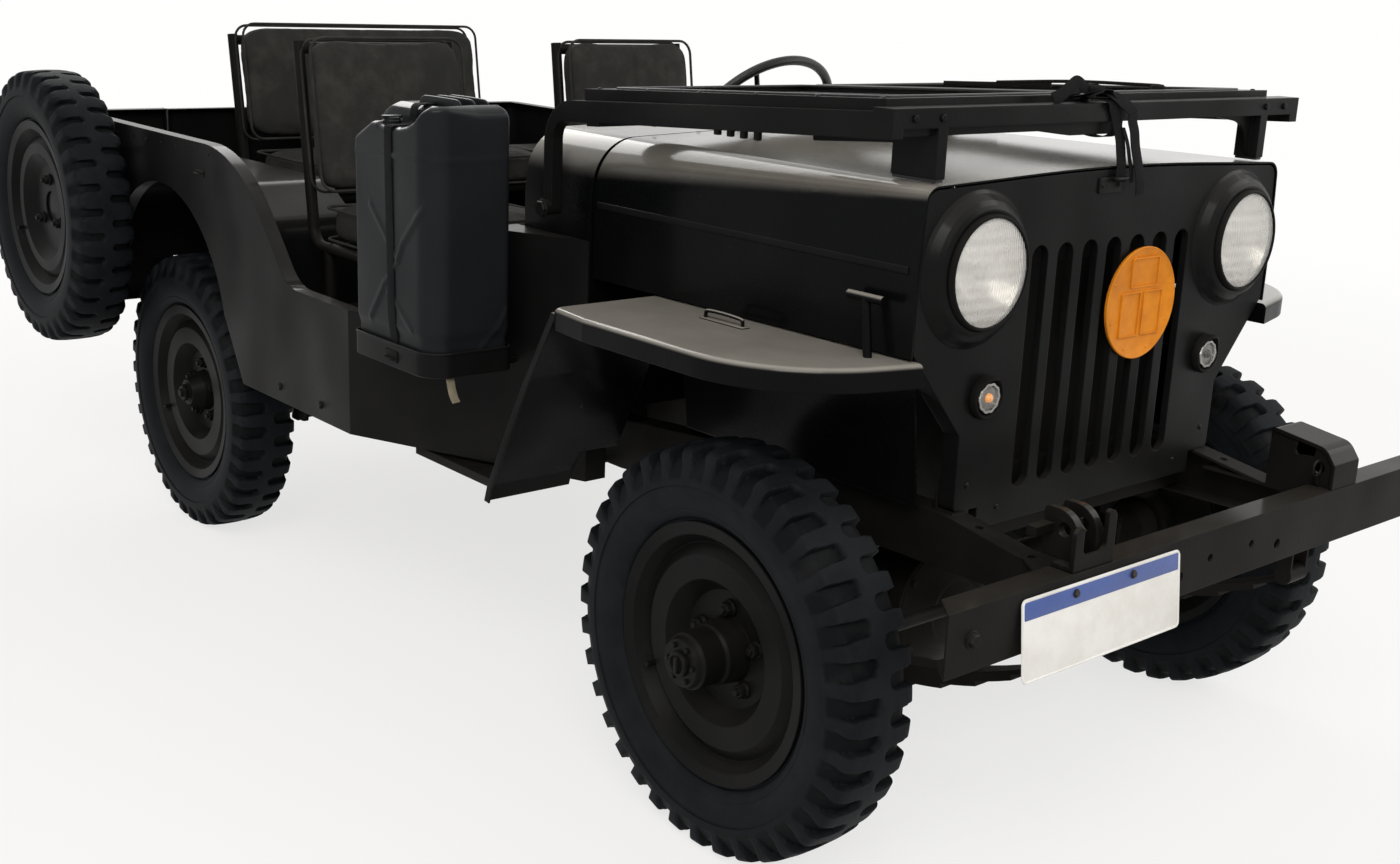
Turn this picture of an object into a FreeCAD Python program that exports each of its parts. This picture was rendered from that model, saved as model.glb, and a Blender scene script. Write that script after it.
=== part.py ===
import FreeCAD, Part

import math
import os

# Light open army 4x4 car with its windscreen folded forward, as separate solids, one STEP file per node.
#
# Modelling frame, millimetres: x forward from the front axle, y to the vehicle's left, z up from the
# ground. The export moves everything by ORIGIN_SHIFT, which puts the origin in the middle of the
# footprint at ground level.

V = FreeCAD.Vector

# ---------------------------------------------------------------- driving dimensions
WHEELBASE = 2032.0
AXLE_Z = 348.0             # wheel centre height, and the tyre's radius
FRONT_TRACK_HALF = 611.0
REAR_TRACK_HALF = 616.0
REAR_AXLE_X = -WHEELBASE
SHEET = 3.0                # body panels
PLATE = 5.0                # chassis plate

BODY_HALF = 717.0          # outside of the tub's straight sides
BODY_REAR_X = -2642.0
BODY_BOTTOM_Z = 466.0
RAIL_TOP_Z = 1002.0        # top rail of the rear quarters
SILL_Z = 729.0             # foot of the door opening
TUB_KINK_X = -1100.0       # where the sides turn in towards the cowl
FIREWALL_X = -562.0
COWL_REAR_X = -775.0
SIDE_TOP_Z = 934.0         # top edge of the sides beside the cowl
COWL_HALF = 505.0
TAILGATE_HALF = 452.0
TAILGATE_SILL_Z = 590.0
FLOOR_FRONT_Z = 572.0
FLOOR_REAR_Z = 622.0
FLOOR_STEP_X = -1600.0

FRAME_HALF = 371.0         # outside of the chassis rails
RAIL_WIDTH = 46.0
BUMPER_FRONT_X = 517.0
BUMPER_BACK_X = 470.0
BUMPER_TOP_Z = 596.0
BUMPER_BOTTOM_Z = 499.0
BUMPER_HALF = 695.0
BUMPER_END_CUT = 40.0      # how far the ends slant in towards the back

GRILLE_X = 230.0           # front face of the grille panel
GRILLE_HALF = 482.0
GRILLE_CORNER_Z = 1120.0    # top corners of the panel, under the hood's front edge
HOOD_TOP_Z = 1124.0        # hood and cowl, 8 below their crown line
SLOT_PITCH = 65.5
SLOT_HALF_WIDTH = 20.5
SLOT_LOW_Z = 616.0
SLOT_HIGH_Z = 1020.0
SLOT_LIP = 2.5             # thickness and depth of each slot's turned-in lip
SLOT_LIP_DEPTH = 14.0
HEADLAMP_Y = 355.0
HEADLAMP_Z = 993.0
PARKING_Y = 307.0
PARKING_Z = 785.0

HOOD_REAR_X = -556.0
HOOD_LOW_Z = 866.0
HOOD_CREASE_Z = 1000.0
HOOD_LEAN = 9.0            # how far the sides lean in above the crease

FENDER_TOP_Z = 862.0
FENDER_LIP = 38.0

KINGPIN_Y = 520.0
TIE_ROD_X = 150.0
TIE_ROD_Z = 384.0

PIVOT_X = -639.0           # windscreen hinge, across the cowl
PIVOT_Z = 989.0
SCREEN_HALF = 548.0
SCREEN_FRONT_X = 196.0
SCREEN_Z = 1222.0

SPARE_X = -2455.0
SPARE_Y = -821.0
SPARE_Z = 775.0

# The footprint's middle in the modelling frame, taken to the exported origin.
ORIGIN_SHIFT = V(1143.0, 84.0, 0.0)


# ---------------------------------------------------------------- drawing helpers
def place(plane, u, v, depth):
    """A point from its two coordinates in a plane and its depth off that plane."""
    if plane == "xz":
        return V(u, depth, v)
    if plane == "yz":
        return V(depth, u, v)
    return V(u, v, depth)


def direction(plane, length):
    """The vector that carries a shape off a plane by a length."""
    return place(plane, 0, 0, length)


def outline(plane, corners, depth):
    """A closed wire through corners, each (u, v) or (u, v, corner radius)."""
    points = [place(plane, c[0], c[1], depth) for c in corners]
    radii = [c[2] if len(c) > 2 else 0.0 for c in corners]
    edges = []
    ends = []
    for i, corner in enumerate(points):
        before = points[i - 1]
        after = points[(i + 1) % len(points)]
        if radii[i] == 0.0:
            ends.append((corner, None, corner))
            continue
        back = (before - corner).normalize()
        on = (after - corner).normalize()
        half = math.acos(max(-1.0, min(1.0, back.dot(on)))) / 2
        reach = radii[i] / math.tan(half)
        middle = (back + on).normalize()
        centre = corner + middle * (radii[i] / math.sin(half))
        ends.append((corner + back * reach, centre - middle * radii[i], corner + on * reach))
    for i, (start, bulge, stop) in enumerate(ends):
        if bulge is not None:
            edges.append(Part.Arc(start, bulge, stop).toShape())
        following = ends[(i + 1) % len(ends)][0]
        if (following - stop).Length > 0.001:
            edges.append(Part.LineSegment(stop, following).toShape())
    return Part.Wire(edges)


def slab(plane, corners, low, high):
    """A flat outline carried from one depth to another."""
    face = Part.Face(outline(plane, corners, low))
    return face.extrude(direction(plane, high - low))


def block(x, y, z):
    """A box from its three (low, high) pairs."""
    return Part.makeBox(x[1] - x[0], y[1] - y[0], z[1] - z[0], V(x[0], y[0], z[0]))


def rod(start, stop, radius):
    """A round bar from one point to another."""
    start, stop = V(*start), V(*stop)
    return Part.makeCylinder(radius, (stop - start).Length, start, stop - start)


def turned(profile, centre, outward):
    """A closed (along, radius) profile turned about the y axis through centre; outward is +1 or -1."""
    points = [V(centre[0], centre[1] + outward * a, centre[2] + r) for a, r in profile]
    face = Part.Face(Part.makePolygon(points + points[:1]))
    return face.revolve(V(*centre), V(0, 1, 0), 360)


def turned_x(profile, centre):
    """A closed (along, radius) profile turned about the x axis through centre."""
    points = [V(centre[0] + a, centre[1], centre[2] + r) for a, r in profile]
    face = Part.Face(Part.makePolygon(points + points[:1]))
    return face.revolve(V(*centre), V(1, 0, 0), 360)


def bent_tube(route, radius, bend):
    """A round bar along straight runs joined by tangent bends of one radius."""
    points = [V(*p) for p in route]
    pieces = []
    start = points[0]
    for before, corner, after in zip(points, points[1:], points[2:]):
        back = (before - corner).normalize()
        on = (after - corner).normalize()
        half = math.acos(max(-1.0, min(1.0, back.dot(on)))) / 2
        reach = bend / math.tan(half)
        centre = corner + (back + on).normalize() * (bend / math.sin(half))
        enters, leaves = corner + back * reach, corner + on * reach
        pieces.append(Part.makeCylinder(radius, (enters - start).Length, start, -back))
        disc = Part.Face(Part.Wire(Part.makeCircle(radius, enters, -back)))
        pieces.append(disc.revolve(centre, on.cross(back), 180 - math.degrees(2 * half)))
        start = leaves
    pieces.append(Part.makeCylinder(radius, (points[-1] - start).Length, start, points[-1] - start))
    return joined(pieces)


def joined(shapes):
    """One solid from shapes that touch or overlap."""
    whole = shapes[0]
    if len(shapes) > 1:
        whole = whole.fuse(list(shapes[1:]))
    return whole.removeSplitter()


def mirrored(shape):
    """The same piece on the other side of the vehicle."""
    return shape.mirror(V(0, 0, 0), V(0, 1, 0))


def both_sides(shape):
    """A right-hand piece and its left-hand twin as separate solids of one shape."""
    return Part.makeCompound([shape, mirrored(shape)])


# ---------------------------------------------------------------- chassis
# Rail side view (x, z, corner radius), front end first.
RAIL_TOP = [(512, 566), (385, 569), (225, 595), (-160, 600), (-620, 560), (-1600, 560), (-1810, 606),
            (-2300, 606), (-2630, 570)]
RAIL_BOTTOM = [(-2630, 500), (-2300, 510), (-1810, 510), (-1600, 458), (-620, 458), (-160, 500),
               (225, 505), (512, 508)]

# Cross members: (rear x, front x, low z, high z).
CROSS_MEMBERS = [(120, 180, 512, 572), (-950, -890, 464, 520), (-1700, -1640, 512, 572)]


REAR_MEMBER_HALF = 446.0

# Holes in each rail's top flange behind the bumper: (x, distance from the middle).
HORN_HOLES = [(277, 348), (386, 352)]
# Side step under the sill: plan (x, y, corner radius), top height and depth of its turned-down rim.
STEP_PLAN = [(-991, -630, 12), (-690, -630, 12), (-690, -548), (-991, -548)]
STEP_TOP_Z = 458.0
STEP_RIM = 18.0


def chassis_frame():
    """Two channel rails, cross members, bumper gussets and the side steps on their brackets."""
    outer = FRAME_HALF
    web = slab("xz", RAIL_TOP + RAIL_BOTTOM, -outer, -outer + PLATE)
    flange_face = Part.Face(outline("xz", RAIL_TOP + RAIL_BOTTOM, -outer))
    inner_face = flange_face.makeOffset2D(-PLATE, join=2)
    flanges = flange_face.cut(inner_face).extrude(V(0, RAIL_WIDTH, 0))
    gusset = slab("xy", [(470, -430, 12), (385, -371), (250, -371), (250, -325), (385, -325),
                         (470, -290, 12)], 566, 571)
    step = slab("xy", STEP_PLAN, STEP_TOP_Z - STEP_RIM, STEP_TOP_Z)
    (x0, y0), (x1, y1) = STEP_PLAN[0][:2], STEP_PLAN[2][:2]
    step = step.cut(block((x0 + SHEET, x1 - SHEET), (y0 + SHEET, y1 + 1), (STEP_TOP_Z - STEP_RIM - 1, STEP_TOP_Z - 4)))
    rail = joined([web, flanges])
    side = [rail, gusset, step]
    for x in (-960, -740):
        side.append(block((x, x + 40), (y0 + 4, 30 - FRAME_HALF), (STEP_TOP_Z - 12, STEP_TOP_Z)))
    parts = [joined(side), mirrored(joined(side))]
    inner = FRAME_HALF - PLATE
    for rear, front, low, high in CROSS_MEMBERS:
        parts.append(block((rear, front), (-inner, inner), (low, high)))
    rear_member = block((-2636, -2600), (-REAR_MEMBER_HALF, REAR_MEMBER_HALF), (500, 588))
    hollow = block((-2636 + PLATE, -2600), (-REAR_MEMBER_HALF, REAR_MEMBER_HALF), (505, 583))
    parts.append(rear_member.cut(hollow))
    drawbar = slab("xy", [(-2740, -60, 30), (-2740, 60, 30), (-2600, 150), (-2600, -150)], 488, 500)
    parts.append(drawbar)
    for s in (-1, 1):
        upright = block((191, 196), (s * 340 - 20, s * 340 + 20), (580, 628))
        foot = block((191, 230), (s * 340 - 20, s * 340 + 20), (592, 598))
        parts += [upright, foot]
    whole = joined(parts)
    holes = [rod((x, s * y, 540), (x, s * y, 590), 7) for s in (-1, 1) for x, y in HORN_HOLES]
    return whole.cut([rod((-2700, 0, 470), (-2700, 0, 520), 13)] + holes)


# Holes in the bumper's face: (distance from the middle, height, radius).
BUMPER_HOLES = [(60, 548, 7), (142, 532, 9), (640, 548, 9)]


def front_bumper():
    """Open-backed pressed channel with bolt holes along its face."""
    x = (BUMPER_BACK_X, BUMPER_FRONT_X)
    y = (-BUMPER_HALF, BUMPER_HALF)
    z = (BUMPER_BOTTOM_Z, BUMPER_TOP_Z)
    channel = block(x, y, z).cut(block((x[0], x[1] - PLATE), (y[0] - 1, y[1] + 1), (z[0] + PLATE, z[1] - PLATE)))
    holes = [rod((500, s * y_at, z_at), (530, s * y_at, z_at), r)
             for s in (-1, 1) for y_at, z_at, r in BUMPER_HOLES]
    corner = [(x[0] - 1, BUMPER_HALF - BUMPER_END_CUT), (x[0] - 1, BUMPER_HALF + 1), (x[1], BUMPER_HALF + 1),
              (x[1], BUMPER_HALF)]
    ends = [slab("xy", [(u, s * v) for u, v in corner], z[0] - 1, z[1] + 1) for s in (-1, 1)]
    return channel.cut(holes + ends)


TOW_PIN_R = 11.0
TOW_FOOT_TOP_Z = BUMPER_TOP_Z + 8
RIGHT_TOW_Y = -372.0
RIGHT_TOW_PIN = (478.0, 650.0)      # x, z
LEFT_TOW_Y = 345.0
LEFT_TOW_PIN = (484.0, 630.0)


def right_tow_bracket():
    """Foot, U-shaped front plate, two round-headed prongs behind it and a side arm."""
    y, top = RIGHT_TOW_Y, 680
    foot = block((474, 514), (y - 48, y + 48), (BUMPER_TOP_Z, TOW_FOOT_TOP_Z))
    plate = slab("yz", [(y - 48, BUMPER_TOP_Z, 12), (y - 48, 664, 14), (y - 28, 664, 6), (y - 28, 618, 14),
                        (y + 28, 618, 14), (y + 28, top, 6), (y + 48, top, 14), (y + 48, BUMPER_TOP_Z, 12)], 506, 514)
    prong = [(440, TOW_FOOT_TOP_Z), (504, TOW_FOOT_TOP_Z), (504, top, 40), (440, top, 8)]
    prongs = [slab("xz", prong, at - 7, at + 7) for at in (y - 22, y + 22)]
    arm = block((440, 458), (y - 70, y + 29), (640, 656))
    x, z = RIGHT_TOW_PIN
    return joined([foot, plate, arm] + prongs).cut(rod((x, y - 40, z), (x, y + 40, z), TOW_PIN_R))


def left_tow_bracket():
    """Two cheek plates from the rail to the bumper under one bent cover strap."""
    y, half, thick, lap = LEFT_TOW_Y, 36, 6, 5
    view = [(388, 571), (388, 684, 12), (496, 668, 30), (516, 640, 8), (516, BUMPER_TOP_Z),
            (BUMPER_BACK_X, BUMPER_TOP_Z), (BUMPER_BACK_X, 571)]
    inner = [(380, 560), (380, 678.8), (494, 661.5, 25), (510, 638, 6), (510, 560)]
    window = slab("xz", [(436, 642, 8), (436, 672, 8), (474, 666, 8), (474, 646, 8)], y - half, y + half)
    cheeks = [slab("xz", view, y + low, y + low + thick).cut(window) for low in (-half, half - thick)]
    strap = slab("xz", view, y - half - lap, y + half + lap)
    strap = strap.cut(slab("xz", inner, y - half - lap - 1, y + half + lap + 1))
    x, z = LEFT_TOW_PIN
    return joined([strap] + cheeks).cut(rod((x, y - half - 5, z), (x, y + half + 5, z), TOW_PIN_R))


def front_tow_brackets():
    """The two unlike tow brackets over the ends of the chassis rails."""
    return Part.makeCompound([right_tow_bracket(), left_tow_bracket()])


# ---------------------------------------------------------------- axles, springs and steering
def differential(x, toward):
    """The round axle centre, off to the right, with its pinion nose towards the gearbox."""
    centre = (x, -180.0, AXLE_Z)
    bowl = turned_x([(-toward * 105, 0), (-toward * 105, 60), (-toward * 70, 112), (toward * 30, 112),
                     (toward * 80, 70), (toward * 170, 48), (toward * 210, 44), (toward * 210, 0)], centre)
    return bowl


def front_axle():
    """Axle tubes, offset differential and the two ball ends that the knuckles turn on."""
    tube = rod((0, -KINGPIN_Y, AXLE_Z), (0, KINGPIN_Y, AXLE_Z), 38)
    balls = [Part.makeSphere(58, V(0, s * KINGPIN_Y, AXLE_Z)) for s in (-1, 1)]
    outboard = [block((-80, 80), pair, (AXLE_Z - 80, AXLE_Z + 80))
                for pair in ((-KINGPIN_Y - 70, -KINGPIN_Y - 20), (KINGPIN_Y + 20, KINGPIN_Y + 70))]
    return joined([tube, differential(0, -1)] + balls).cut(outboard)


def rear_axle():
    """Axle tubes and offset differential, with a backing plate at each end."""
    x = REAR_AXLE_X
    end = REAR_TRACK_HALF - 34
    tube = rod((x, -end, AXLE_Z), (x, end, AXLE_Z), 38)
    stubs = rod((x, -end - 52, AXLE_Z), (x, end + 52, AXLE_Z), 22)
    plates = [rod((x, s * (end - 6), AXLE_Z), (x, s * end, AXLE_Z), 138) for s in (-1, 1)]
    return joined([tube, stubs, differential(x, 1)] + plates)


def knuckle():
    """Right knuckle: hollow ball housing, backing plate, stub axle and the steering arm."""
    centre = V(0, -KINGPIN_Y, AXLE_Z)
    housing = Part.makeSphere(72, centre).cut(Part.makeSphere(60, centre))
    inboard = block((-90, 90), (-KINGPIN_Y + 14, -KINGPIN_Y + 90), (AXLE_Z - 90, AXLE_Z + 90))
    outboard_y = -KINGPIN_Y - 62
    outboard = block((-90, 90), (-KINGPIN_Y - 90, outboard_y), (AXLE_Z - 90, AXLE_Z + 90))
    housing = housing.cut([inboard, outboard])
    back_plate = rod((0, outboard_y, AXLE_Z), (0, outboard_y + 6, AXLE_Z), 138)
    back_plate = back_plate.cut(Part.makeSphere(60, centre))
    stub = rod((0, outboard_y, AXLE_Z), (0, outboard_y - 46, AXLE_Z), 22)
    caps = [rod((0, -KINGPIN_Y, AXLE_Z + s * 66), (0, -KINGPIN_Y, AXLE_Z + s * 86), 34) for s in (-1, 1)]
    arm = slab("xy", [(63, -KINGPIN_Y + 4), (58, -KINGPIN_Y - 30), (TIE_ROD_X + 12, -KINGPIN_Y - 14, 10),
                      (TIE_ROD_X + 12, -KINGPIN_Y + 14, 10)], TIE_ROD_Z - 34, TIE_ROD_Z - 20)
    pin = rod((TIE_ROD_X, -KINGPIN_Y, TIE_ROD_Z - 20), (TIE_ROD_X, -KINGPIN_Y, TIE_ROD_Z + 22), 8)
    return joined([housing, back_plate, stub] + caps + [arm, pin])


def tie_rod():
    """The track rod with an eye at each end round the knuckle pins."""
    z = TIE_ROD_Z
    bar = rod((TIE_ROD_X, -KINGPIN_Y + 10, z), (TIE_ROD_X, KINGPIN_Y - 10, z), 11)
    eyes = [rod((TIE_ROD_X, s * KINGPIN_Y, z - 16), (TIE_ROD_X, s * KINGPIN_Y, z + 16), 15) for s in (-1, 1)]
    bores = [rod((TIE_ROD_X, s * KINGPIN_Y, z - 20), (TIE_ROD_X, s * KINGPIN_Y, z + 20), r)
             for s, r in ((-1, 8.1), (1, 9.5))]
    return joined([bar] + eyes).cut(bores)


# Leaf half-lengths, longest first.
LEAVES = [1.0, 0.86, 0.7, 0.54, 0.38]
LEAF_THICKNESS = 8.0
LEAF_HALF = 22.0           # half a leaf's width
EYE_HALF = 23.0            # half the length of a spring's eye, between its shackle plates
SPRING_Y = 348.0


def leaf_spring(axle_x, half_span, rise, saddle_top):
    """A stack of curved leaves under the axle with eyes, hanger, shackle and axle clamp."""
    low_z = saddle_top
    radius = (half_span ** 2 + rise ** 2) / (2 * rise)
    y0, y1 = -SPRING_Y - LEAF_HALF, -SPRING_Y + LEAF_HALF
    leaves = []
    for i, share in enumerate(LEAVES):
        inner, outer = radius + i * LEAF_THICKNESS, radius + (i + 1) * LEAF_THICKNESS
        angle = math.asin(half_span * share / radius)
        points = []
        for r, signs in ((inner, (-1, 0, 1)), (outer, (1, 0, -1))):
            points.append([V(axle_x + r * math.sin(s * angle), y0, low_z + radius - r * math.cos(s * angle))
                           for s in signs])
        edges = [Part.Arc(*points[0]).toShape(), Part.makeLine(points[0][2], points[1][0]),
                 Part.Arc(*points[1]).toShape(), Part.makeLine(points[1][2], points[0][0])]
        leaves.append(Part.Face(Part.Wire(edges)).extrude(V(0, y1 - y0, 0)))
    eye_z = low_z + rise
    eyes = [rod((axle_x + s * half_span, -SPRING_Y - EYE_HALF, eye_z),
                (axle_x + s * half_span, -SPRING_Y + EYE_HALF, eye_z), 17) for s in (-1, 1)]
    saddle = block((axle_x - 40, axle_x + 40), (y0, y1), (low_z - 2, AXLE_Z - 20))
    saddle = saddle.cut(rod((axle_x, y0 - 1, AXLE_Z), (axle_x, y1 + 1, AXLE_Z), 38.3))
    plate = block((axle_x - 60, axle_x + 60), (y0 - 14, y1 + 14),
                  (low_z - LEAF_THICKNESS * len(LEAVES) - 10, low_z - LEAF_THICKNESS * len(LEAVES) + 1))
    bolts = [rod((axle_x + a, y, low_z - 42), (axle_x + a, y, AXLE_Z + 45), 6)
             for a in (-48, 48) for y in (y0 - 7, y1 + 7)]
    bolts += [rod((axle_x - 48, y, AXLE_Z + 45), (axle_x + 48, y, AXLE_Z + 45), 6) for y in (y0 - 7, y1 + 7)]
    return joined(leaves + eyes + [saddle, plate] + bolts), eye_z


def link(x0, z0, x1, z1, y):
    """A pair of shackle plates between a spring eye and its frame pivot."""
    plates = []
    for side in (y - EYE_HALF - 5, y + EYE_HALF):
        plates.append(joined([slab("xz", [(x0 - 14, z0), (x0 + 14, z0), (x1 + 14, z1), (x1 - 14, z1)], side, side + 5),
                              rod((x0, side, z0), (x0, side + 5, z0), 17),
                              rod((x1, side, z1), (x1, side + 5, z1), 17)]))
    return plates


def suspension(axle_x, half_span, rise, hangers, damper_lean):
    """One right-hand spring with its hangers and damper. Hangers: (end sign, frame z)."""
    spring, eye_z = leaf_spring(axle_x, half_span, rise, AXLE_Z - 46)
    pieces = [spring]
    for sign, frame_z in hangers:
        x = axle_x + sign * half_span
        pieces += link(x, eye_z, x, frame_z, -SPRING_Y)
    spring_and_hangers = joined(pieces)
    base_z = AXLE_Z - 46 - LEAF_THICKNESS * len(LEAVES) - 10
    x0 = axle_x + damper_lean * 60
    x1 = axle_x + damper_lean * 150
    foot = block((x0 - 16, x0 + 16), (-412, -380), (base_z, base_z + 11))
    lower = rod((x0, -400, base_z + 6), (x0 + (x1 - x0) * 0.5, -400, 400), 19)
    upper = rod((x0 + (x1 - x0) * 0.45, -400, 390), (x1, -400, 545), 25)
    return joined([spring_and_hangers, foot, lower, upper])


def front_suspension():
    """Front springs and dampers of both sides."""
    return both_sides(suspension(0, 440, 110, ((-1, 462), (1, 490)), -1))


def rear_suspension():
    """Rear springs and dampers of both sides."""
    return both_sides(suspension(REAR_AXLE_X, 520, 120, ((-1, 490), (1, 462)), 1))


# Wheel section (outboard of the tyre's centre plane, radius), starting at the hub's inboard bore.
WHEEL_SECTION = [(-24, 24), (-24, 48), (0, 48), (0, 132), (-26, 132), (-26, 143), (5, 143), (5, 106),
                 (36, 128), (36, 162), (24, 180), (-34, 180), (-56, 204), (-58, 222), (-50, 222),
                 (-48, 205), (-30, 186), (28, 186), (48, 205), (50, 222), (58, 222), (54, 200), (30, 184),
                 (44, 164), (44, 124), (10, 100)]
FRONT_HUB = [(10, 56), (52, 52), (58, 48), (100, 48), (104, 44), (114, 40), (114, 0), (50, 0), (50, 24)]
REAR_HUB = [(10, 52), (30, 46), (60, 32), (60, 0), (50, 0), (50, 24)]

# Tyre section (outboard of its centre plane, radius).
TYRE_SECTION = [(-47, 207), (-49, 225), (-70, 240), (-76, 290), (-62, 342), (0, 348), (62, 342), (76, 290),
                (70, 240), (49, 225), (47, 207), (40, 214), (60, 285), (44, 328), (-44, 328), (-60, 285), (-40, 214)]


def road_wheel(x, side, track_half, hub):
    """Pressed wheel, brake drum and hub as one turning piece."""
    return turned(WHEEL_SECTION + hub, (x, side * track_half, AXLE_Z), side)


def tyre(x, y, z, side):
    """Hollow tyre casing that grips the rim."""
    return turned(TYRE_SECTION, (x, y, z), side)


# ---------------------------------------------------------------- spare wheel
SPARE_SECTION = [(14, 40), (14, 112), (36, 136), (36, 162), (24, 180), (-34, 180), (-56, 204), (-58, 222),
                 (-50, 222), (-48, 205), (-30, 186), (28, 186), (48, 205), (50, 222), (58, 222), (54, 200),
                 (30, 184), (44, 164), (44, 138), (19, 108), (19, 40)]
STUD_CIRCLE = 70.0


def spare_carrier():
    """Bracket on the right rear quarter with a backing plate, hub boss and three studs."""
    plate = rod((SPARE_X, SPARE_Y - 2, SPARE_Z), (SPARE_X, SPARE_Y - 13.7, SPARE_Z), 92)
    boss = rod((SPARE_X, SPARE_Y - 2, SPARE_Z), (SPARE_X, -BODY_HALF - 5, SPARE_Z), 45)
    foot = slab("xz", [(SPARE_X - 110, SPARE_Z - 90, 15), (SPARE_X - 110, SPARE_Z + 90, 15),
                       (SPARE_X + 110, SPARE_Z + 90, 15), (SPARE_X + 110, SPARE_Z - 90, 15)],
               -BODY_HALF - 5, -BODY_HALF)
    studs = []
    for i in range(3):
        turn = math.radians(90 + 120 * i)
        x, z = SPARE_X + STUD_CIRCLE * math.cos(turn), SPARE_Z + STUD_CIRCLE * math.sin(turn)
        studs.append(rod((x, SPARE_Y - 13, z), (x, SPARE_Y - 38, z), 7))
    return joined([plate, boss, foot] + studs)


def spare_wheel():
    """Spare wheel disc, bolted to the carrier's studs."""
    disc = turned(SPARE_SECTION, (SPARE_X, SPARE_Y, SPARE_Z), -1)
    holes = []
    for i in range(3):
        turn = math.radians(90 + 120 * i)
        x, z = SPARE_X + STUD_CIRCLE * math.cos(turn), SPARE_Z + STUD_CIRCLE * math.sin(turn)
        holes.append(rod((x, SPARE_Y - 5, z), (x, SPARE_Y - 40, z), 7.5))
    return disc.cut(holes)


# ---------------------------------------------------------------- body tub
# Tub in plan (x, y, corner radius).
TUB_PLAN = [(FIREWALL_X, -500), (TUB_KINK_X, -BODY_HALF), (BODY_REAR_X, -BODY_HALF, 36),
            (BODY_REAR_X, BODY_HALF, 36), (TUB_KINK_X, BODY_HALF), (FIREWALL_X, 500)]

# Tub in side view (x, z, corner radius).
SIDE_VIEW = [(FIREWALL_X - 4, BODY_BOTTOM_Z), (FIREWALL_X - 4, SIDE_TOP_Z), (-840, SIDE_TOP_Z, 70), (-985, SILL_Z, 110),
             (-1369, SILL_Z + 2, 112), (-1608.6, RAIL_TOP_Z - 2, 370), (-2700, RAIL_TOP_Z + 4),
             (-2700, 480), (-2480, 480), (-2480, BODY_BOTTOM_Z)]
ARCH_X = -2040.0
ARCH_Z = 530.0
ARCH_R = 352.0
ARCH_FOOT = [(-1697, 610), (-1688, 599), (-1592, 440), (-2500, 440), (-2385, 599), (-2385, 610)]
RAIL_FLANGE = 32.0         # how far the side's edges turn in


def wheel_arch(grow):
    """The cut-out over the rear wheel, as a solid through the whole width."""
    circle = Part.makeCylinder(ARCH_R + grow, 2000, V(ARCH_X, -1000, ARCH_Z), V(0, 1, 0))
    circle = circle.cut(block((-2600, -1400), (-1100, 1100), (0, ARCH_Z - 4)))
    foot = [(x + grow * (1 if x > ARCH_X else -1), z) for x, z in ARCH_FOOT]
    return circle.fuse(slab("xz", foot, -1000, 1000))


def tub_band(thickness):
    """The upright sheet round the tub, from outside in by a thickness."""
    face = Part.Face(outline("xy", TUB_PLAN, 400))
    inner = face.makeOffset2D(-thickness, join=2)
    return face.cut(inner).extrude(V(0, 0, 700))


def body_side():
    """Right side: sheet with its rear corner, turned-in edges and the wheel arch."""
    half = block((-2700, -300), (-800, -TAILGATE_HALF - 2), (400, 1100))
    whole_view = Part.Face(outline("xz", SIDE_VIEW, -900)).extrude(V(0, 1800, 0))
    view_face = Part.Face(outline("xz", SIDE_VIEW, -900))
    small_view = view_face.makeOffset2D(-SHEET, join=2).extrude(V(0, 1800, 0))
    small_view = small_view.cut(wheel_arch(SHEET))
    whole_view = whole_view.cut(wheel_arch(0))
    sheet = tub_band(SHEET).common(whole_view)
    lips = tub_band(RAIL_FLANGE).common(whole_view).cut(small_view)
    post = block((BODY_REAR_X, BODY_REAR_X + 25), (-TAILGATE_HALF - 5, -TAILGATE_HALF - 2), (480, RAIL_TOP_Z + 4))
    shelf = slab("xy", [(FIREWALL_X - 4, -COWL_HALF - 0.5), (FIREWALL_X - 4, -500), (-800, -592), (-800, -COWL_HALF - 0.5)],
                 SIDE_TOP_Z - SHEET, SIDE_TOP_Z)
    side = sheet.fuse([lips]).common(half)
    return joined([side, post, shelf])


# ---------------------------------------------------------------- cowl, floor and tailgate
def hood_section(x, half, top, shoulder, low, crown):
    """Cross section of the raised hood and cowl: side, lean-in shoulder and crowned top."""
    return outline("yz", [(-half, low), (-half, HOOD_CREASE_Z), (-half + HOOD_LEAN, top - 8, shoulder),
                          (0, top + crown, 6000), (half - HOOD_LEAN, top - 8, shoulder), (half, HOOD_CREASE_Z),
                          (half, low)], x)


def loft(wires):
    """A straight-sided solid between two sections."""
    return Part.makeLoft(wires, True, True)


FRONT_SHOULDER = 28.0
REAR_SHOULDER = 96.0
HOOD_FRONT_HALF = 488.0
HOOD_REAR_HALF = 502.0
HOOD_FRONT_RISE = 10.0     # how much higher the hood stands over the grille than at the cowl
HOOD_FRONT_X = GRILLE_X + 2


def hood():
    """Raised hood shell, open at both ends and along its foot."""
    outer = loft([hood_section(HOOD_FRONT_X, HOOD_FRONT_HALF, HOOD_TOP_Z + HOOD_FRONT_RISE, FRONT_SHOULDER,
                               HOOD_LOW_Z, 10),
                  hood_section(HOOD_REAR_X, HOOD_REAR_HALF, HOOD_TOP_Z + 4, REAR_SHOULDER, HOOD_LOW_Z, 8)])
    inner = loft([hood_section(HOOD_FRONT_X + 4, HOOD_FRONT_HALF - SHEET, HOOD_TOP_Z + HOOD_FRONT_RISE - SHEET,
                               FRONT_SHOULDER - SHEET, HOOD_LOW_Z - 10, 10),
                  hood_section(HOOD_REAR_X - 4, HOOD_REAR_HALF - SHEET, HOOD_TOP_Z + 4 - SHEET,
                               REAR_SHOULDER - SHEET, HOOD_LOW_Z - 10, 8)])
    return joined([outer.cut(inner)])


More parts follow.
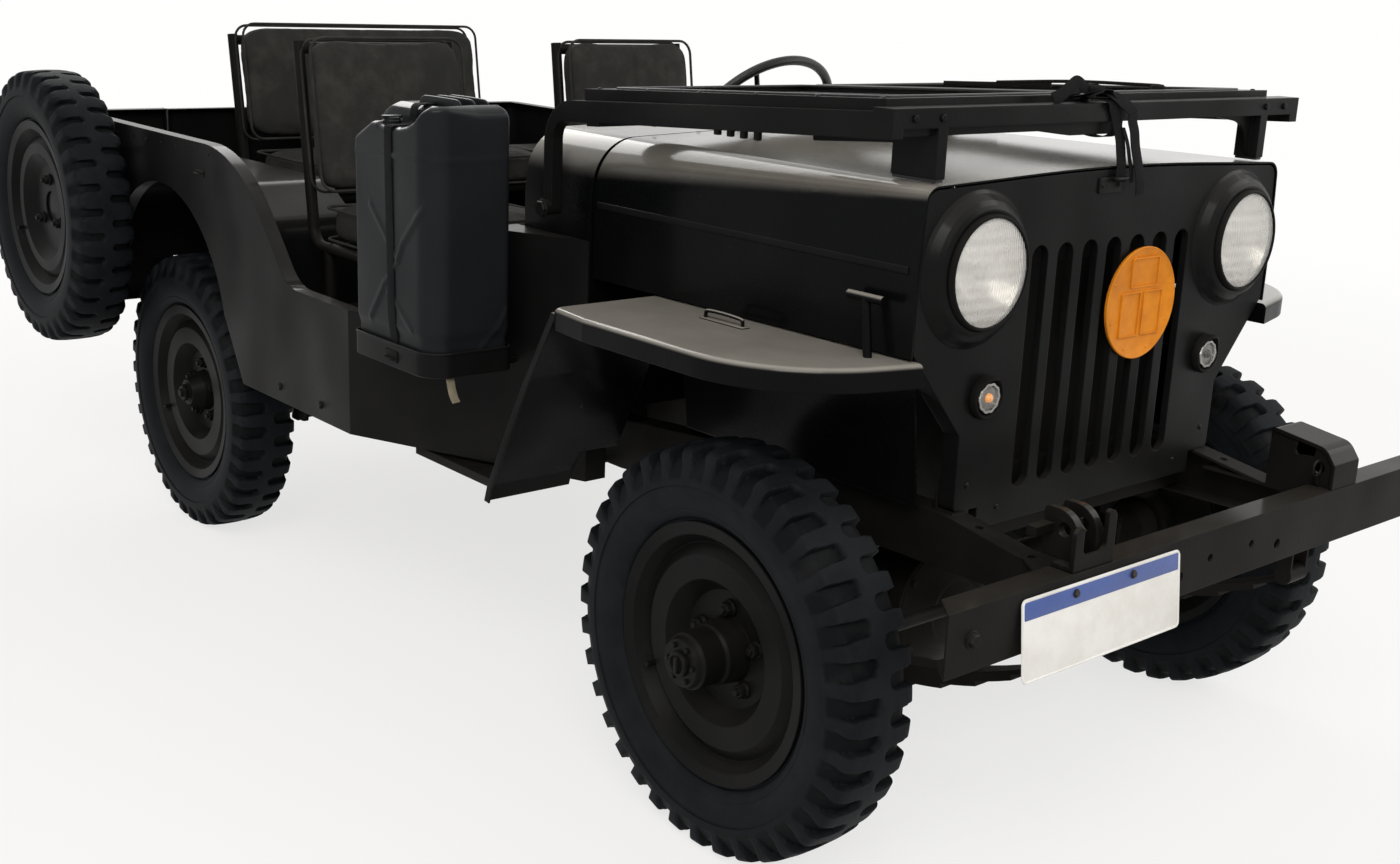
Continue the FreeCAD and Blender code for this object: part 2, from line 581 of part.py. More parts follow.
def cowl():
    """Cowl top behind the hood, the firewall below it and the dashboard panel."""
    outer = loft([hood_section(FIREWALL_X, COWL_HALF, HOOD_TOP_Z + 4, REAR_SHOULDER, 700, 8),
                  hood_section(COWL_REAR_X, COWL_HALF, HOOD_TOP_Z + 4, REAR_SHOULDER, 700, 8)])
    inner = loft([hood_section(FIREWALL_X - SHEET, COWL_HALF - SHEET, HOOD_TOP_Z + 4 - SHEET,
                               REAR_SHOULDER - SHEET, 690, 8),
                  hood_section(COWL_REAR_X - 1, COWL_HALF - SHEET, HOOD_TOP_Z + 4 - SHEET,
                               REAR_SHOULDER - SHEET, 690, 8)])
    shell = outer.cut(inner)
    fire_low = slab("yz", [(-495, 600), (-495, 705), (495, 705), (495, 600)], FIREWALL_X - SHEET, FIREWALL_X)
    dash = loft([hood_section(COWL_REAR_X, COWL_HALF, HOOD_TOP_Z + 4, REAR_SHOULDER, 700, 8),
                 hood_section(COWL_REAR_X + SHEET, COWL_HALF, HOOD_TOP_Z + 4, REAR_SHOULDER, 700, 8)])
    dash = dash.cut(block((COWL_REAR_X - 5, COWL_REAR_X + 5), (-600, 600), (600, 968)))
    below = block((FIREWALL_X - SHEET - 247, FIREWALL_X - SHEET), (-600, 600), (600, SIDE_TOP_Z))
    return joined([shell.cut(below), fire_low, dash])


# Floor in side view, top surface (x, z), from the toe board back.
FLOOR_LINE = [(-576, 696), (-700, FLOOR_FRONT_Z), (FLOOR_STEP_X, FLOOR_FRONT_Z), (FLOOR_STEP_X, FLOOR_REAR_Z),
              (BODY_REAR_X + 14, FLOOR_REAR_Z)]
WHEEL_BOX_HALF = 400.0     # inner faces of the wheel boxes


def floor_pan():
    """Floor with its toe board and rear step, and the two wheel boxes welded to it."""
    under = [(BODY_REAR_X + 14, FLOOR_REAR_Z - 30), (BODY_REAR_X + 17, FLOOR_REAR_Z - 30),
             (BODY_REAR_X + 17, FLOOR_REAR_Z - SHEET), (FLOOR_STEP_X - SHEET, FLOOR_REAR_Z - SHEET),
             (FLOOR_STEP_X - SHEET, FLOOR_FRONT_Z - SHEET), (-701, FLOOR_FRONT_Z - SHEET), (-576, 692)]
    strip = slab("xz", FLOOR_LINE + under, -720, 720)
    plan = Part.Face(outline("xy", TUB_PLAN, 500)).makeOffset2D(-SHEET - 0.2, join=2).extrude(V(0, 0, 400))
    plan = plan.cut(block((-2700, BODY_REAR_X + RAIL_FLANGE), (-800, -TAILGATE_HALF), (400, 1000)))
    plan = plan.cut(block((-2700, BODY_REAR_X + RAIL_FLANGE), (TAILGATE_HALF, 800), (400, 1000)))
    strip = strip.common(plan)
    side = -BODY_HALF + RAIL_FLANGE + 0.5
    box_view = [(-1640, FLOOR_REAR_Z), (-1640, 820, 60), (-1780, 905, 60), (-2330, 905, 60), (-2480, 800, 60),
                (-2480, FLOOR_REAR_Z)]
    inner_view = [(-1640 - SHEET, FLOOR_REAR_Z - 20), (-1640 - SHEET, 818, 58), (-1781, 902, 58), (-2329, 902, 58),
                  (-2477, 798, 58), (-2477, FLOOR_REAR_Z - 20)]
    wheel_box = slab("xz", box_view, side, -WHEEL_BOX_HALF).cut(
        slab("xz", inner_view, side - 1, -WHEEL_BOX_HALF - SHEET))
    hole = block((-2476, -1644), (side - 40, -WHEEL_BOX_HALF - SHEET), (FLOOR_REAR_Z - 30, FLOOR_REAR_Z + 5))
    half = strip.cut([hole, mirrored(hole)])
    return joined([half, wheel_box, mirrored(wheel_box)])


def tailgate():
    """Drop tailgate: ribbed panel with turned-in edges, hinged along its foot."""
    low, high = TAILGATE_SILL_Z + 38, RAIL_TOP_Z + 2
    x = BODY_REAR_X
    half = TAILGATE_HALF - 3
    plate = block((x, x + 24), (-half, half), (low, high))
    pocket = block((x + SHEET, x + 30), (-half + SHEET, half - SHEET), (low + SHEET, high - SHEET))
    barrel = rod((x + 2, -half + 40, low - 2), (x + 2, half - 40, low - 2), 8)
    ribs = [block((x + 1, x + 20), (y - 14, y + 14), (low + 1, high - 1)) for y in (-225, 0, 225)]
    return joined([plate.cut(pocket), barrel] + ribs)


# ---------------------------------------------------------------- front panels
def grille_slot(y, grow, back_x, front_x):
    """One round-ended slot of the grille as a solid, grown all round."""
    w = SLOT_HALF_WIDTH + grow
    low, high = SLOT_LOW_Z - grow, SLOT_HIGH_Z + grow
    return slab("yz", [(y - w, low, w - 0.5), (y - w, high, w - 0.5), (y + w, high, w - 0.5), (y + w, low, w - 0.5)],
                back_x, front_x)


def grille():
    """Grille panel: seven slots with turned-in lips, lamp openings with raised rings, turned-back edges."""
    half = GRILLE_HALF
    edge = [(-half, HOOD_CREASE_Z), (-half, 873), (-358, 726), (-358, 598, 10), (-300, 598), (-300, 560),
            (300, 560), (300, 598), (358, 598, 10), (358, 726), (half, 873), (half, HOOD_CREASE_Z),
            (half - HOOD_LEAN, GRILLE_CORNER_Z, 22), (0, GRILLE_CORNER_Z + 18, 6000),
            (HOOD_LEAN - half, GRILLE_CORNER_Z, 22)]
    panel = slab("yz", edge, GRILLE_X - SHEET, GRILLE_X)
    face = Part.Face(outline("yz", edge, GRILLE_X - 34))
    rim = face.cut(face.makeOffset2D(-SHEET, join=2)).extrude(V(34 - SHEET, 0, 0))
    rim = rim.cut(block((GRILLE_X - 40, GRILLE_X - SHEET - 0.5), (-500, 500), (HOOD_LOW_Z - 14, 1200)))
    whole = joined([panel, rim])
    for side in (-1, 1):
        centre = (GRILLE_X, side * HEADLAMP_Y, HEADLAMP_Z)
        ring = turned_x([(-SHEET, 92), (-SHEET, 124), (0.5, 124), (5, 119), (17, 110), (23, 103), (26, 97),
                         (26, 92)], centre)
        whole = whole.fuse(ring)
        whole = whole.cut(rod((GRILLE_X - 20, centre[1], centre[2]), (GRILLE_X + 60, centre[1], centre[2]), 92))
        lamp = (GRILLE_X, side * PARKING_Y, PARKING_Z)
        whole = whole.cut(rod((GRILLE_X - 20, lamp[1], lamp[2]), (GRILLE_X + 20, lamp[1], lamp[2]), 18))
    slots, lips = [], []
    for i in range(-3, 4):
        slots.append(grille_slot(i * SLOT_PITCH, 0, GRILLE_X - 20, GRILLE_X + 20))
        lips.append(grille_slot(i * SLOT_PITCH, SLOT_LIP, GRILLE_X - SLOT_LIP_DEPTH, GRILLE_X - SHEET))
    return whole.fuse(lips).cut(slots).removeSplitter()


def front_lamps():
    """Sealed-beam headlamps and small parking lamps of both sides."""
    lamps = []
    for side in (-1, 1):
        centre = (GRILLE_X, side * HEADLAMP_Y, HEADLAMP_Z)
        lamps.append(turned_x([(-60, 0), (-60, 40), (-20, 84), (30, 91.4), (30, 84), (40, 60), (45, 30), (46, 0)],
                              centre))
        small = (GRILLE_X, side * PARKING_Y, PARKING_Z)
        lamps.append(turned_x([(-16, 0), (-16, 17.5), (0.3, 17.5), (0.3, 32), (8, 31), (12, 24), (24, 14), (26, 0)],
                              small))
    return Part.makeCompound(lamps)


# Fender top in plan (x, y, corner radius): rear inner corner first, then round the outside.
FENDER_PLAN = [(-388, -430), (-388, -714, 20), (-278, -729), (178, -728, 234), (248, -476), (192, -476),
               (192, -430)]
FENDER_ROLL = 10.0         # rounding of the top's outer edge
# Slanting apron behind the wheel, outer face (x, z).
APRON_LINE = [(-388, FENDER_TOP_Z - FENDER_ROLL), (-467, 719), (-584, 491), (-594, 459)]


APRON_FOLD = 15.0          # width of the flange along the apron's outer edge
CATCH_FOOT = (168.0, -516.0)
CATCH_HEAD = (152.0, -511.0)


def rolled_edge(solid, top, radius):
    """Rounds the outer edges round a fender's top face."""
    edges = [e for e in solid.Edges
             if abs(e.BoundBox.ZMin - top) < 0.01 and abs(e.BoundBox.ZMax - top) < 0.01
             and e.CenterOfMass.y < -480 and e.CenterOfMass.x < 244]
    return solid.makeFillet(radius, edges)


def front_fender():
    """Right fender: flat top with a deep lip, slanting rear apron and inner splash panel."""
    top = FENDER_TOP_Z
    face = Part.Face(outline("xy", FENDER_PLAN, top - FENDER_LIP))
    skin = rolled_edge(face.extrude(V(0, 0, FENDER_LIP)), top, FENDER_ROLL)
    inside = face.makeOffset2D(-SHEET, join=2)
    skin = skin.cut(rolled_edge(inside.extrude(V(0, 0, FENDER_LIP - SHEET)), top - SHEET, FENDER_ROLL - SHEET))
    back = [(x + SHEET, z - 1) for x, z in reversed(APRON_LINE)]
    apron = slab("xz", APRON_LINE + back, -714, -430)
    corner = block((-700, -300), (-522, -300), (400, 530))
    apron = apron.cut(corner)
    fold = [(x + APRON_FOLD, z - 2) for x, z in reversed(APRON_LINE)]
    edge = slab("xz", APRON_LINE + fold, -714, -711)
    splash = slab("yz", [(-430, top - 1), (-433, top - 1), (-403, 604), (-400, 604)], -386, 190)
    x, y = CATCH_HEAD
    catch = joined([rod(CATCH_FOOT + (top - 1,), (x, y, top + 90), 7),
                    rod((x - 37, y, top + 90), (x + 37, y, top + 90), 7)])
    return joined([skin, apron, edge, splash, catch])


def radiator():
    """Radiator core with its tanks, behind the grille."""
    core = block((120, 178), (-235, 235), (640, 980))
    tanks = [block((112, 186), (-240, 240), pair) for pair in ((590, 640), (980, 1050))]
    return joined([core] + tanks)


# ---------------------------------------------------------------- power train
def engine_and_gearbox():
    """Engine as one block, with the clutch housing, gearbox and transfer case behind it."""
    engine = block((-480, 60), (-190, 190), (500, 1000))
    housing = loft([outline("yz", [(-190, 480), (-190, 820), (190, 820), (190, 480)], -480),
                    outline("yz", [(-130, 440), (-130, 640), (130, 640), (130, 440)], -556)])
    gearbox = block((-990, -556), (-95, 95), (420, 562))
    transfer = block((-1150, -955), (-260, 110), (380, 540))
    clear = block((-952, -888), (-400, 400), (455, 530))
    return joined([engine, housing, gearbox, transfer]).cut(clear)


def propshafts():
    """Front and rear propeller shafts between the transfer case and the differentials."""
    front = rod((-216, -180, AXLE_Z), (-948, -225, 430), 24)
    rear = rod((REAR_AXLE_X + 216, -180, AXLE_Z), (-1158, -225, 430), 24)
    joints = [rod((-224, -181, AXLE_Z + 2), (-250, -183, AXLE_Z + 5), 40),
              rod((REAR_AXLE_X + 224, -181, AXLE_Z + 2), (REAR_AXLE_X + 250, -183, AXLE_Z + 5), 40)]
    return Part.makeCompound([joined([front, joints[0]]), joined([rear, joints[1]])])


def exhaust():
    """Down pipe, silencer and tail pipe under the right side."""
    y, z = 236, 410
    pipe = bent_tube([(-300, 216, 580), (-300, y, z + 10), (-700, y, z), (-1180, y, z)], 22, 60)
    silencer = rod((-1170, y, z), (-1590, y, z), 66)
    tail = bent_tube([(-1580, y, z), (-1700, y, z), (-1780, y, z + 40), (-1900, y, z + 60)], 20, 60)
    return joined([pipe, silencer, tail])


# ---------------------------------------------------------------- windscreen
ARM_WIDTH = 24.0           # across the vehicle
LEG_HALF = 13.0            # half the leg's fore-and-aft width
REST_FOOT_Z = 1134.0       # foot of the rests, over the hood
REST_Y = (426.0, 448.0)
SCREEN_SLOPE = 3.1         # degrees that the folded screen falls towards the cowl
INNER_HALF = 515.0
INNER_REAR_X = -574.0
PANE_REAR_X = -524.0
PANE_FRONT_X = SCREEN_FRONT_X - 66
PANE_INNER_Y = 18.0
PANE_OUTER_Y = 480.0
PANE_GAP = 0.5
PANE_THICK = 6.0


def sloped(shape):
    """Tips a piece modelled level about the front bar so that it lies at the screen's slope."""
    return shape.rotated(V(SCREEN_FRONT_X, 0, SCREEN_Z), V(0, 1, 0), -SCREEN_SLOPE)


def windscreen_frame():
    """Folded outer frame: bent arms from the cowl pivots, front bar with its under-member, rests and inner frame."""
    y0, y1 = -SCREEN_HALF, -SCREEN_HALF + ARM_WIDTH
    z, front = SCREEN_Z, SCREEN_FRONT_X + 20
    fall = math.tan(math.radians(SCREEN_SLOPE)) * (front - PIVOT_X)
    arm_view = [(PIVOT_X - LEG_HALF, PIVOT_Z - LEG_HALF, 12), (PIVOT_X - LEG_HALF, z + 10 - fall, 84),
                (front, z + 14), (front, z - 26), (PIVOT_X + LEG_HALF, z - 26 - fall, 36),
                (PIVOT_X + LEG_HALF, PIVOT_Z - LEG_HALF, 12)]
    arm = slab("xz", arm_view, y0, y1)
    bar = block((SCREEN_FRONT_X - 20, front), (y0, -y0), (z - 12, z + 18))
    under = slab("yz", [(y1 - 1, z - 10), (y1 - 1, z - 24), (-200, z - 24), (-120, z - 33), (20, z - 33), (20, z - 10)],
                 SCREEN_FRONT_X - 10, SCREEN_FRONT_X + 10)
    lower = block((INNER_REAR_X + 50, INNER_REAR_X + 84), (y0, -y0), (z - 34, z + 6))
    inner_frame = block((INNER_REAR_X, SCREEN_FRONT_X - 26), (-INNER_HALF, INNER_HALF), (z + 4, z + 30))
    for low, high in ((-PANE_OUTER_Y, -PANE_INNER_Y), (PANE_INNER_Y, PANE_OUTER_Y)):
        inner_frame = inner_frame.cut(block((PANE_REAR_X, PANE_FRONT_X), (low, high), (z, z + 40)))
    ties = [block((SCREEN_FRONT_X - 60, SCREEN_FRONT_X - 10), (s * 420 - 20, s * 420 + 20), (z - 10, z + 14))
            for s in (-1, 1)]
    bolts = [rod((PIVOT_X, s * (SCREEN_HALF + 10), PIVOT_Z), (PIVOT_X, s * (SCREEN_HALF - 1), PIVOT_Z), 14)
             for s in (-1, 1)]
    inner, outer = REST_Y
    rests = [block((126, front), (-outer, -inner), (REST_FOOT_Z, z - 10)),
             block((170, front), (inner, outer), (REST_FOOT_Z, z - 10)),
             slab("xz", [(-58, z - 6), (-46, 1167), (128, 1181), (128, z + 6)], -outer, 6 - outer),
             slab("yz", [(290, z - 11), (inner + 4, z - 11), (inner + 4, REST_FOOT_Z + 6),
                         (inner - 4, REST_FOOT_Z + 6), (400, z - 26, 50)], SCREEN_FRONT_X - 3, SCREEN_FRONT_X + 3)]
    return joined([arm, mirrored(arm), bar, under, sloped(lower), sloped(inner_frame)] + ties + bolts + rests)


def windscreen_glass():
    """The two panes of the inner frame."""
    z = SCREEN_Z + 14
    pane = block((PANE_REAR_X + PANE_GAP, PANE_FRONT_X - PANE_GAP),
                 (-PANE_OUTER_Y + PANE_GAP, -PANE_INNER_Y - PANE_GAP), (z, z + PANE_THICK))
    return both_sides(sloped(pane))


# ---------------------------------------------------------------- driver's controls and seats
WHEEL_CENTRE = V(-1035, 330, 1075)
COLUMN_FOOT = V(-445, 330, 662)
STEERING_R = 200.0
RIM_R = 11.0


def steering_axis():
    """Unit vector up the steering column, from its foot to the wheel."""
    return (WHEEL_CENTRE - COLUMN_FOOT).normalize()


def along_column(shape):
    """Turns a shape modelled on the z axis so that its axis lies along the steering column."""
    axis = steering_axis()
    turn = FreeCAD.Rotation(V(0, 0, 1), axis)
    shape = shape.copy()
    shape.Placement = FreeCAD.Placement(WHEEL_CENTRE, turn)
    return shape


def steering_wheel():
    """Three-spoke steering wheel with its hub."""
    ring = [V(STEERING_R + RIM_R * math.cos(math.pi * i / 6), 0, RIM_R * math.sin(math.pi * i / 6)) for i in range(12)]
    rim = Part.Face(Part.makePolygon(ring + ring[:1])).revolve(V(0, 0, 0), V(0, 0, 1), 360)
    hub = Part.makeCylinder(30, 40, V(0, 0, -38))
    spokes = []
    for i in range(3):
        turn = math.radians(90 + 120 * i)
        end = V(STEERING_R * math.cos(turn), STEERING_R * math.sin(turn), 0)
        spokes.append(Part.makeCylinder(6, (end - V(0, 0, -14)).Length, V(0, 0, -14), end - V(0, 0, -14)))
    return along_column(joined([rim, hub] + spokes))


def driver_controls():
    """Steering column, gear levers, hand brake lever and pedals."""
    axis = steering_axis()
    top = WHEEL_CENTRE - axis * 40
    reach = (FIREWALL_X - SHEET - 12 - top.x) / -axis.x
    column = Part.makeCylinder(19, reach, top, -axis)
    levers = []
    for x, y, lean, height in LEVERS:
        stick = rod((x, y, FLOOR_FRONT_Z + 4), (x - lean, y, height), 7)
        knob = Part.makeSphere(16, V(x - lean, y, height))
        levers.append(joined([stick, knob]))
    pedals = []
    for y in (265, 420):
        stem = rod((-640, y, 680), (-690, y, 760), 6)
        pad = block((-705, -680), (y - 32, y + 32), (735, 790))
        pedals.append(joined([stem, pad]))
    return Part.makeCompound([column] + levers + pedals)


# Floor levers: (foot x, y, backward lean, top z).
LEVERS = [(-900, 20, 120, 930), (-985, -60, 40, 800), (-985, -100, 40, 780)]

# Seats: (name, cushion middle y, half width, cushion front x, cushion back x, seat base z).
FRONT_SEATS = [(-355, 215), (355, 215)]
CUSHION_FRONT_X = -1120.0
CUSHION_BACK_X = -1530.0
CUSHION_LOW_Z = 800.0
CUSHION_THICK = 90.0


def seat_tubes(y, half, front, back, low, floor, back_height):
    """One seat's bent-tube base and back frame."""
    tubes = []
    for s in (-1, 1):
        side = y + s * (half - 20)
        route = [(front - 20, side, floor + 0.5), (front - 20, side, low - 14), (back - 30, side, low - 14),
                 (back - 88, side, low + back_height)]
        tubes.append(bent_tube(route, 13, 45))
        tubes.append(rod((back + 40, side, floor + 0.5), (back + 40, side, low - 14), 13))
    tubes.append(rod((front - 60, y - half + 20, low - 14), (front - 60, y + half - 20, low - 14), 11))
    tubes.append(rod((back + 40, y - half + 20, low - 14), (back + 40, y + half - 20, low - 14), 11))
    top = (back - 86, low + back_height - 15)
    tubes.append(rod((top[0], y - half + 20, top[1]), (top[0], y + half - 20, top[1]), 13))
    return joined(tubes)


def seat_frames():
    """Tube frames of the two front seats and the rear bench."""
    frames = [seat_tubes(y, half, CUSHION_FRONT_X, CUSHION_BACK_X, CUSHION_LOW_Z, FLOOR_FRONT_Z, 440)
              for y, half in FRONT_SEATS]
    frames.append(seat_tubes(0, 380, BENCH_FRONT_X, BENCH_BACK_X, BENCH_LOW_Z, FLOOR_REAR_Z, 380))
    return Part.makeCompound(frames)


BENCH_FRONT_X = -1900.0
BENCH_BACK_X = -2290.0
BENCH_LOW_Z = 840.0


def pads(y, half, front, back, low, back_height):
    """One seat's cushion and its leaning back pad as two soft solids."""
    cushion = slab("xz", [(front, low, 30), (back + 36, low, 10), (back + 30, low + CUSHION_THICK, 25),
                          (front, low + CUSHION_THICK, 35)], y - half, y + half)
    rest = slab("xz", [(back + 22, low + CUSHION_THICK + 8, 15), (back - 28, low + CUSHION_THICK + 8, 10),
                       (back - 70 + 16, low + back_height, 15), (back - 70 + 66, low + back_height, 30)],
                y - half + 5, y + half - 5)
    return [cushion, rest]


def front_seat_pads():
    """Cushions and back pads of the two front seats."""
    solids = []
    for y, half in FRONT_SEATS:
        solids += pads(y, half, CUSHION_FRONT_X, CUSHION_BACK_X, CUSHION_LOW_Z, 460)
    return Part.makeCompound(solids)


def rear_seat_pads():
    """Cushion and back pad of the rear bench."""
    return Part.makeCompound(pads(0, 380, BENCH_FRONT_X, BENCH_BACK_X, BENCH_LOW_Z, 420))


def fuel_tank():
    """Tank on the floor under the driver's seat."""
    return slab("yz", [(230, FLOOR_FRONT_Z + 0.5, 25), (230, CUSHION_LOW_Z - 40, 30), (480, CUSHION_LOW_Z - 40, 30),
                       (480, FLOOR_FRONT_Z + 0.5, 25)], CUSHION_BACK_X + 60, CUSHION_FRONT_X - 50)


# ---------------------------------------------------------------- fuel can
CAN_X = (-910.0, -636.0)
CAN_Y = (-802.0, -628.0)
CAN_Z = (694.0, 1180.0)
CAN_SPLIT_Y = -722.0       # the recess for the cap lies outboard of this
CAN_EDGE = 60.0            # rounding of the can's upright edges
TRAY_WALL = 3.0
TRAY_GAP = 1.0
TRAY_DEPTH = 43.5
# Line pressed into the can's outboard face (x, z).
CAN_PRESSING = [(-651, 992), (-740, 908), (-843, 771)]


def can_plan(grow):
    """The can's rounded outline in plan, grown all round."""
    x0, x1, y0, y1 = CAN_X[0] - grow, CAN_X[1] + grow, CAN_Y[0] - grow, CAN_Y[1] + grow
    return [(x, y, CAN_EDGE + grow) for x, y in ((x0, y0), (x1, y0), (x1, y1), (x0, y1))]


def fuel_can():
    """Can with well rounded upright edges, a cap recess in the outboard half of its top and a pressed line."""
    x0, x1 = CAN_X
    z0, z1 = CAN_Z
    outboard = [(x0, z0, 16), (x0, z1 - 42, 20), (x0 + 62, z1 - 28, 12), (x0 + 80, z1 - 44, 10),
                (x0 + 176, z1 - 44, 26), (x0 + 234, z1 - 2, 16), (x1, z1 - 2, 30), (x1, z0, 16)]
    inboard = [(x0, z0, 16), (x0, z1 - 42, 20), (x0 + 40, z1, 14), (x1, z1, 30), (x1, z0, 16)]
    can = slab("xz", outboard, CAN_Y[0], CAN_SPLIT_Y).fuse(slab("xz", inboard, CAN_SPLIT_Y, CAN_Y[1]))
    can = can.common(slab("xy", can_plan(0), z0 - 1, z1 + 1))
    grooves = [rod((a[0], CAN_Y[0], a[1]), (b[0], CAN_Y[0], b[1]), 3.5) for a, b in zip(CAN_PRESSING, CAN_PRESSING[1:])]
    return can.cut(grooves)


def can_carrier():
    """Sheet tray round the can's foot on two arms from the body side."""
    z0 = CAN_Z[0] - 0.5
    tray = slab("xy", can_plan(TRAY_GAP + TRAY_WALL), z0 - TRAY_WALL, z0 + TRAY_DEPTH)
    tray = tray.cut(slab("xy", can_plan(TRAY_GAP), z0, z0 + 99))
    arms = [block((x, x + 30), (CAN_Y[0] + 40, -540), (z0 - 14, z0 - TRAY_WALL))
            for x in (CAN_X[0] + 90, CAN_X[1] - 110)]
    tub = Part.Face(outline("xy", TUB_PLAN, 400)).extrude(V(0, 0, 700))
    return joined([tray] + arms).cut(tub)


def tail_lamps():
    """Round tail lamps on the rear corner panels."""
    lamps = [turned_x([(-1, 0), (-1, 44), (-26, 42), (-34, 30), (-36, 0)], (BODY_REAR_X, s * 600, 760)) for s in (-1, 1)]
    return Part.makeCompound(lamps)


# ---------------------------------------------------------------- all nodes
def nodes():
    """Every node's name and shape."""
    right, left = -1, 1
    made = {
        "chassis_frame": chassis_frame(),
        "front_bumper": front_bumper(),
        "front_tow_brackets": front_tow_brackets(),
        "front_axle": front_axle(),
        "rear_axle": rear_axle(),
        "front_suspension": front_suspension(),
        "rear_suspension": rear_suspension(),
        "knuckle_right": knuckle(),
        "knuckle_left": mirrored(knuckle()),
        "tie_rod": tie_rod(),
        "engine_and_gearbox": engine_and_gearbox(),
        "propshafts": propshafts(),
        "exhaust": exhaust(),
        "radiator": radiator(),
        "grille": grille(),
        "front_lamps": front_lamps(),
        "hood": hood(),
        "front_fender_right": front_fender(),
        "front_fender_left": mirrored(front_fender()),
        "cowl": cowl(),
        "body_side_right": body_side(),
        "body_side_left": mirrored(body_side()),
        "floor_pan": floor_pan(),
        "tailgate": tailgate(),
        "tail_lamps": tail_lamps(),
        "windscreen_frame": windscreen_frame(),
        "windscreen_glass": windscreen_glass(),
        "steering_wheel": steering_wheel(),
        "driver_controls": driver_controls(),
        "seat_frames": seat_frames(),
        "front_seat_pads": front_seat_pads(),
        "rear_seat_pads": rear_seat_pads(),
        "fuel_tank": fuel_tank(),
        "fuel_can": fuel_can(),
        "can_carrier": can_carrier(),
        "spare_carrier": spare_carrier(),
        "spare_wheel": spare_wheel(),
        "spare_tyre": tyre(SPARE_X, SPARE_Y, SPARE_Z, right),
    }
    for name, x, half, hub in (("front", 0.0, FRONT_TRACK_HALF, FRONT_HUB),
                               ("rear", REAR_AXLE_X, REAR_TRACK_HALF, REAR_HUB)):
        for side_name, side in (("right", right), ("left", left)):
            made[f"{name}_wheel_{side_name}"] = road_wheel(x, side, half, hub)
            made[f"{name}_tyre_{side_name}"] = tyre(x, side * half, AXLE_Z, side)
    return made


def main():
    """Writes one STEP file per node."""
    os.makedirs("parts", exist_ok=True)
    for name, shape in nodes().items():
        shape = shape.copy()
        shape.translate(ORIGIN_SHIFT)
        shape.exportStep(f"parts/{name}.step")
        print(name, len(shape.Solids), "solids", shape.isValid())


main()
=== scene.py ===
import logging
import math
from dataclasses import dataclass, field
from enum import Enum
from typing import Sequence

import bmesh
import bpy
import numpy as np
from mathutils import Matrix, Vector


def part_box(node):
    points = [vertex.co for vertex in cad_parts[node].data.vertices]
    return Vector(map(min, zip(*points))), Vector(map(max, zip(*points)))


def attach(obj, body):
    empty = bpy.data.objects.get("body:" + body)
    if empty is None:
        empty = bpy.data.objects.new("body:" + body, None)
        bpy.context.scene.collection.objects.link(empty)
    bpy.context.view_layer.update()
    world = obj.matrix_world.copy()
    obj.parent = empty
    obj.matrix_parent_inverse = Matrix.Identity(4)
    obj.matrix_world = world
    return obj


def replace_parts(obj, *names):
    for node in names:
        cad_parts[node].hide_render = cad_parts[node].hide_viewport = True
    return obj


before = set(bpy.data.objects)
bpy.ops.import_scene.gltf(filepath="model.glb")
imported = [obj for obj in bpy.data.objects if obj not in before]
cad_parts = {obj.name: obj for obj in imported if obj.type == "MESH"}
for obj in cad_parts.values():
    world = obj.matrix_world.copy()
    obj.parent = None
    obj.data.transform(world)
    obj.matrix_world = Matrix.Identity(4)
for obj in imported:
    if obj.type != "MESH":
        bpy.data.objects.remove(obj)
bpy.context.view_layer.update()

LOG = logging.getLogger("army_car")

# The vehicle frame is in millimetres: x forward from the front axle, y to the left, z up.
# Its origin lies here in the row frame.
ORIGIN = np.array([1143.0, 84.0, 0.0])
METRE = 0.001
TAU = 2.0 * math.pi
Colour = tuple[float, float, float]
Point = tuple[float, float, float]


class Body(Enum):
    """The bodies of the frame that pieces ride on."""

    CHASSIS = "chassis"
    SCREEN = "windscreen"
    TAILGATE = "drop_tailgate"
    HAND_WHEEL = "hand_wheel"
    FRONT_RIGHT = "front_right_wheel"
    FRONT_LEFT = "front_left_wheel"
    REAR_RIGHT = "rear_right_wheel"
    REAR_LEFT = "rear_left_wheel"


class Slot(Enum):
    """The material slots of the record."""

    ARMY = "army_black_paint"
    CHASSIS = "chassis_black"
    WHEEL = "wheel_paint"
    TYRE = "tyre_rubber"
    LAMP = "lamp_glass"
    TAIL = "tail_lamp_red"
    SEAT = "seat_cover"
    PLASTIC = "black_plastic"
    CAN = "can_paint"


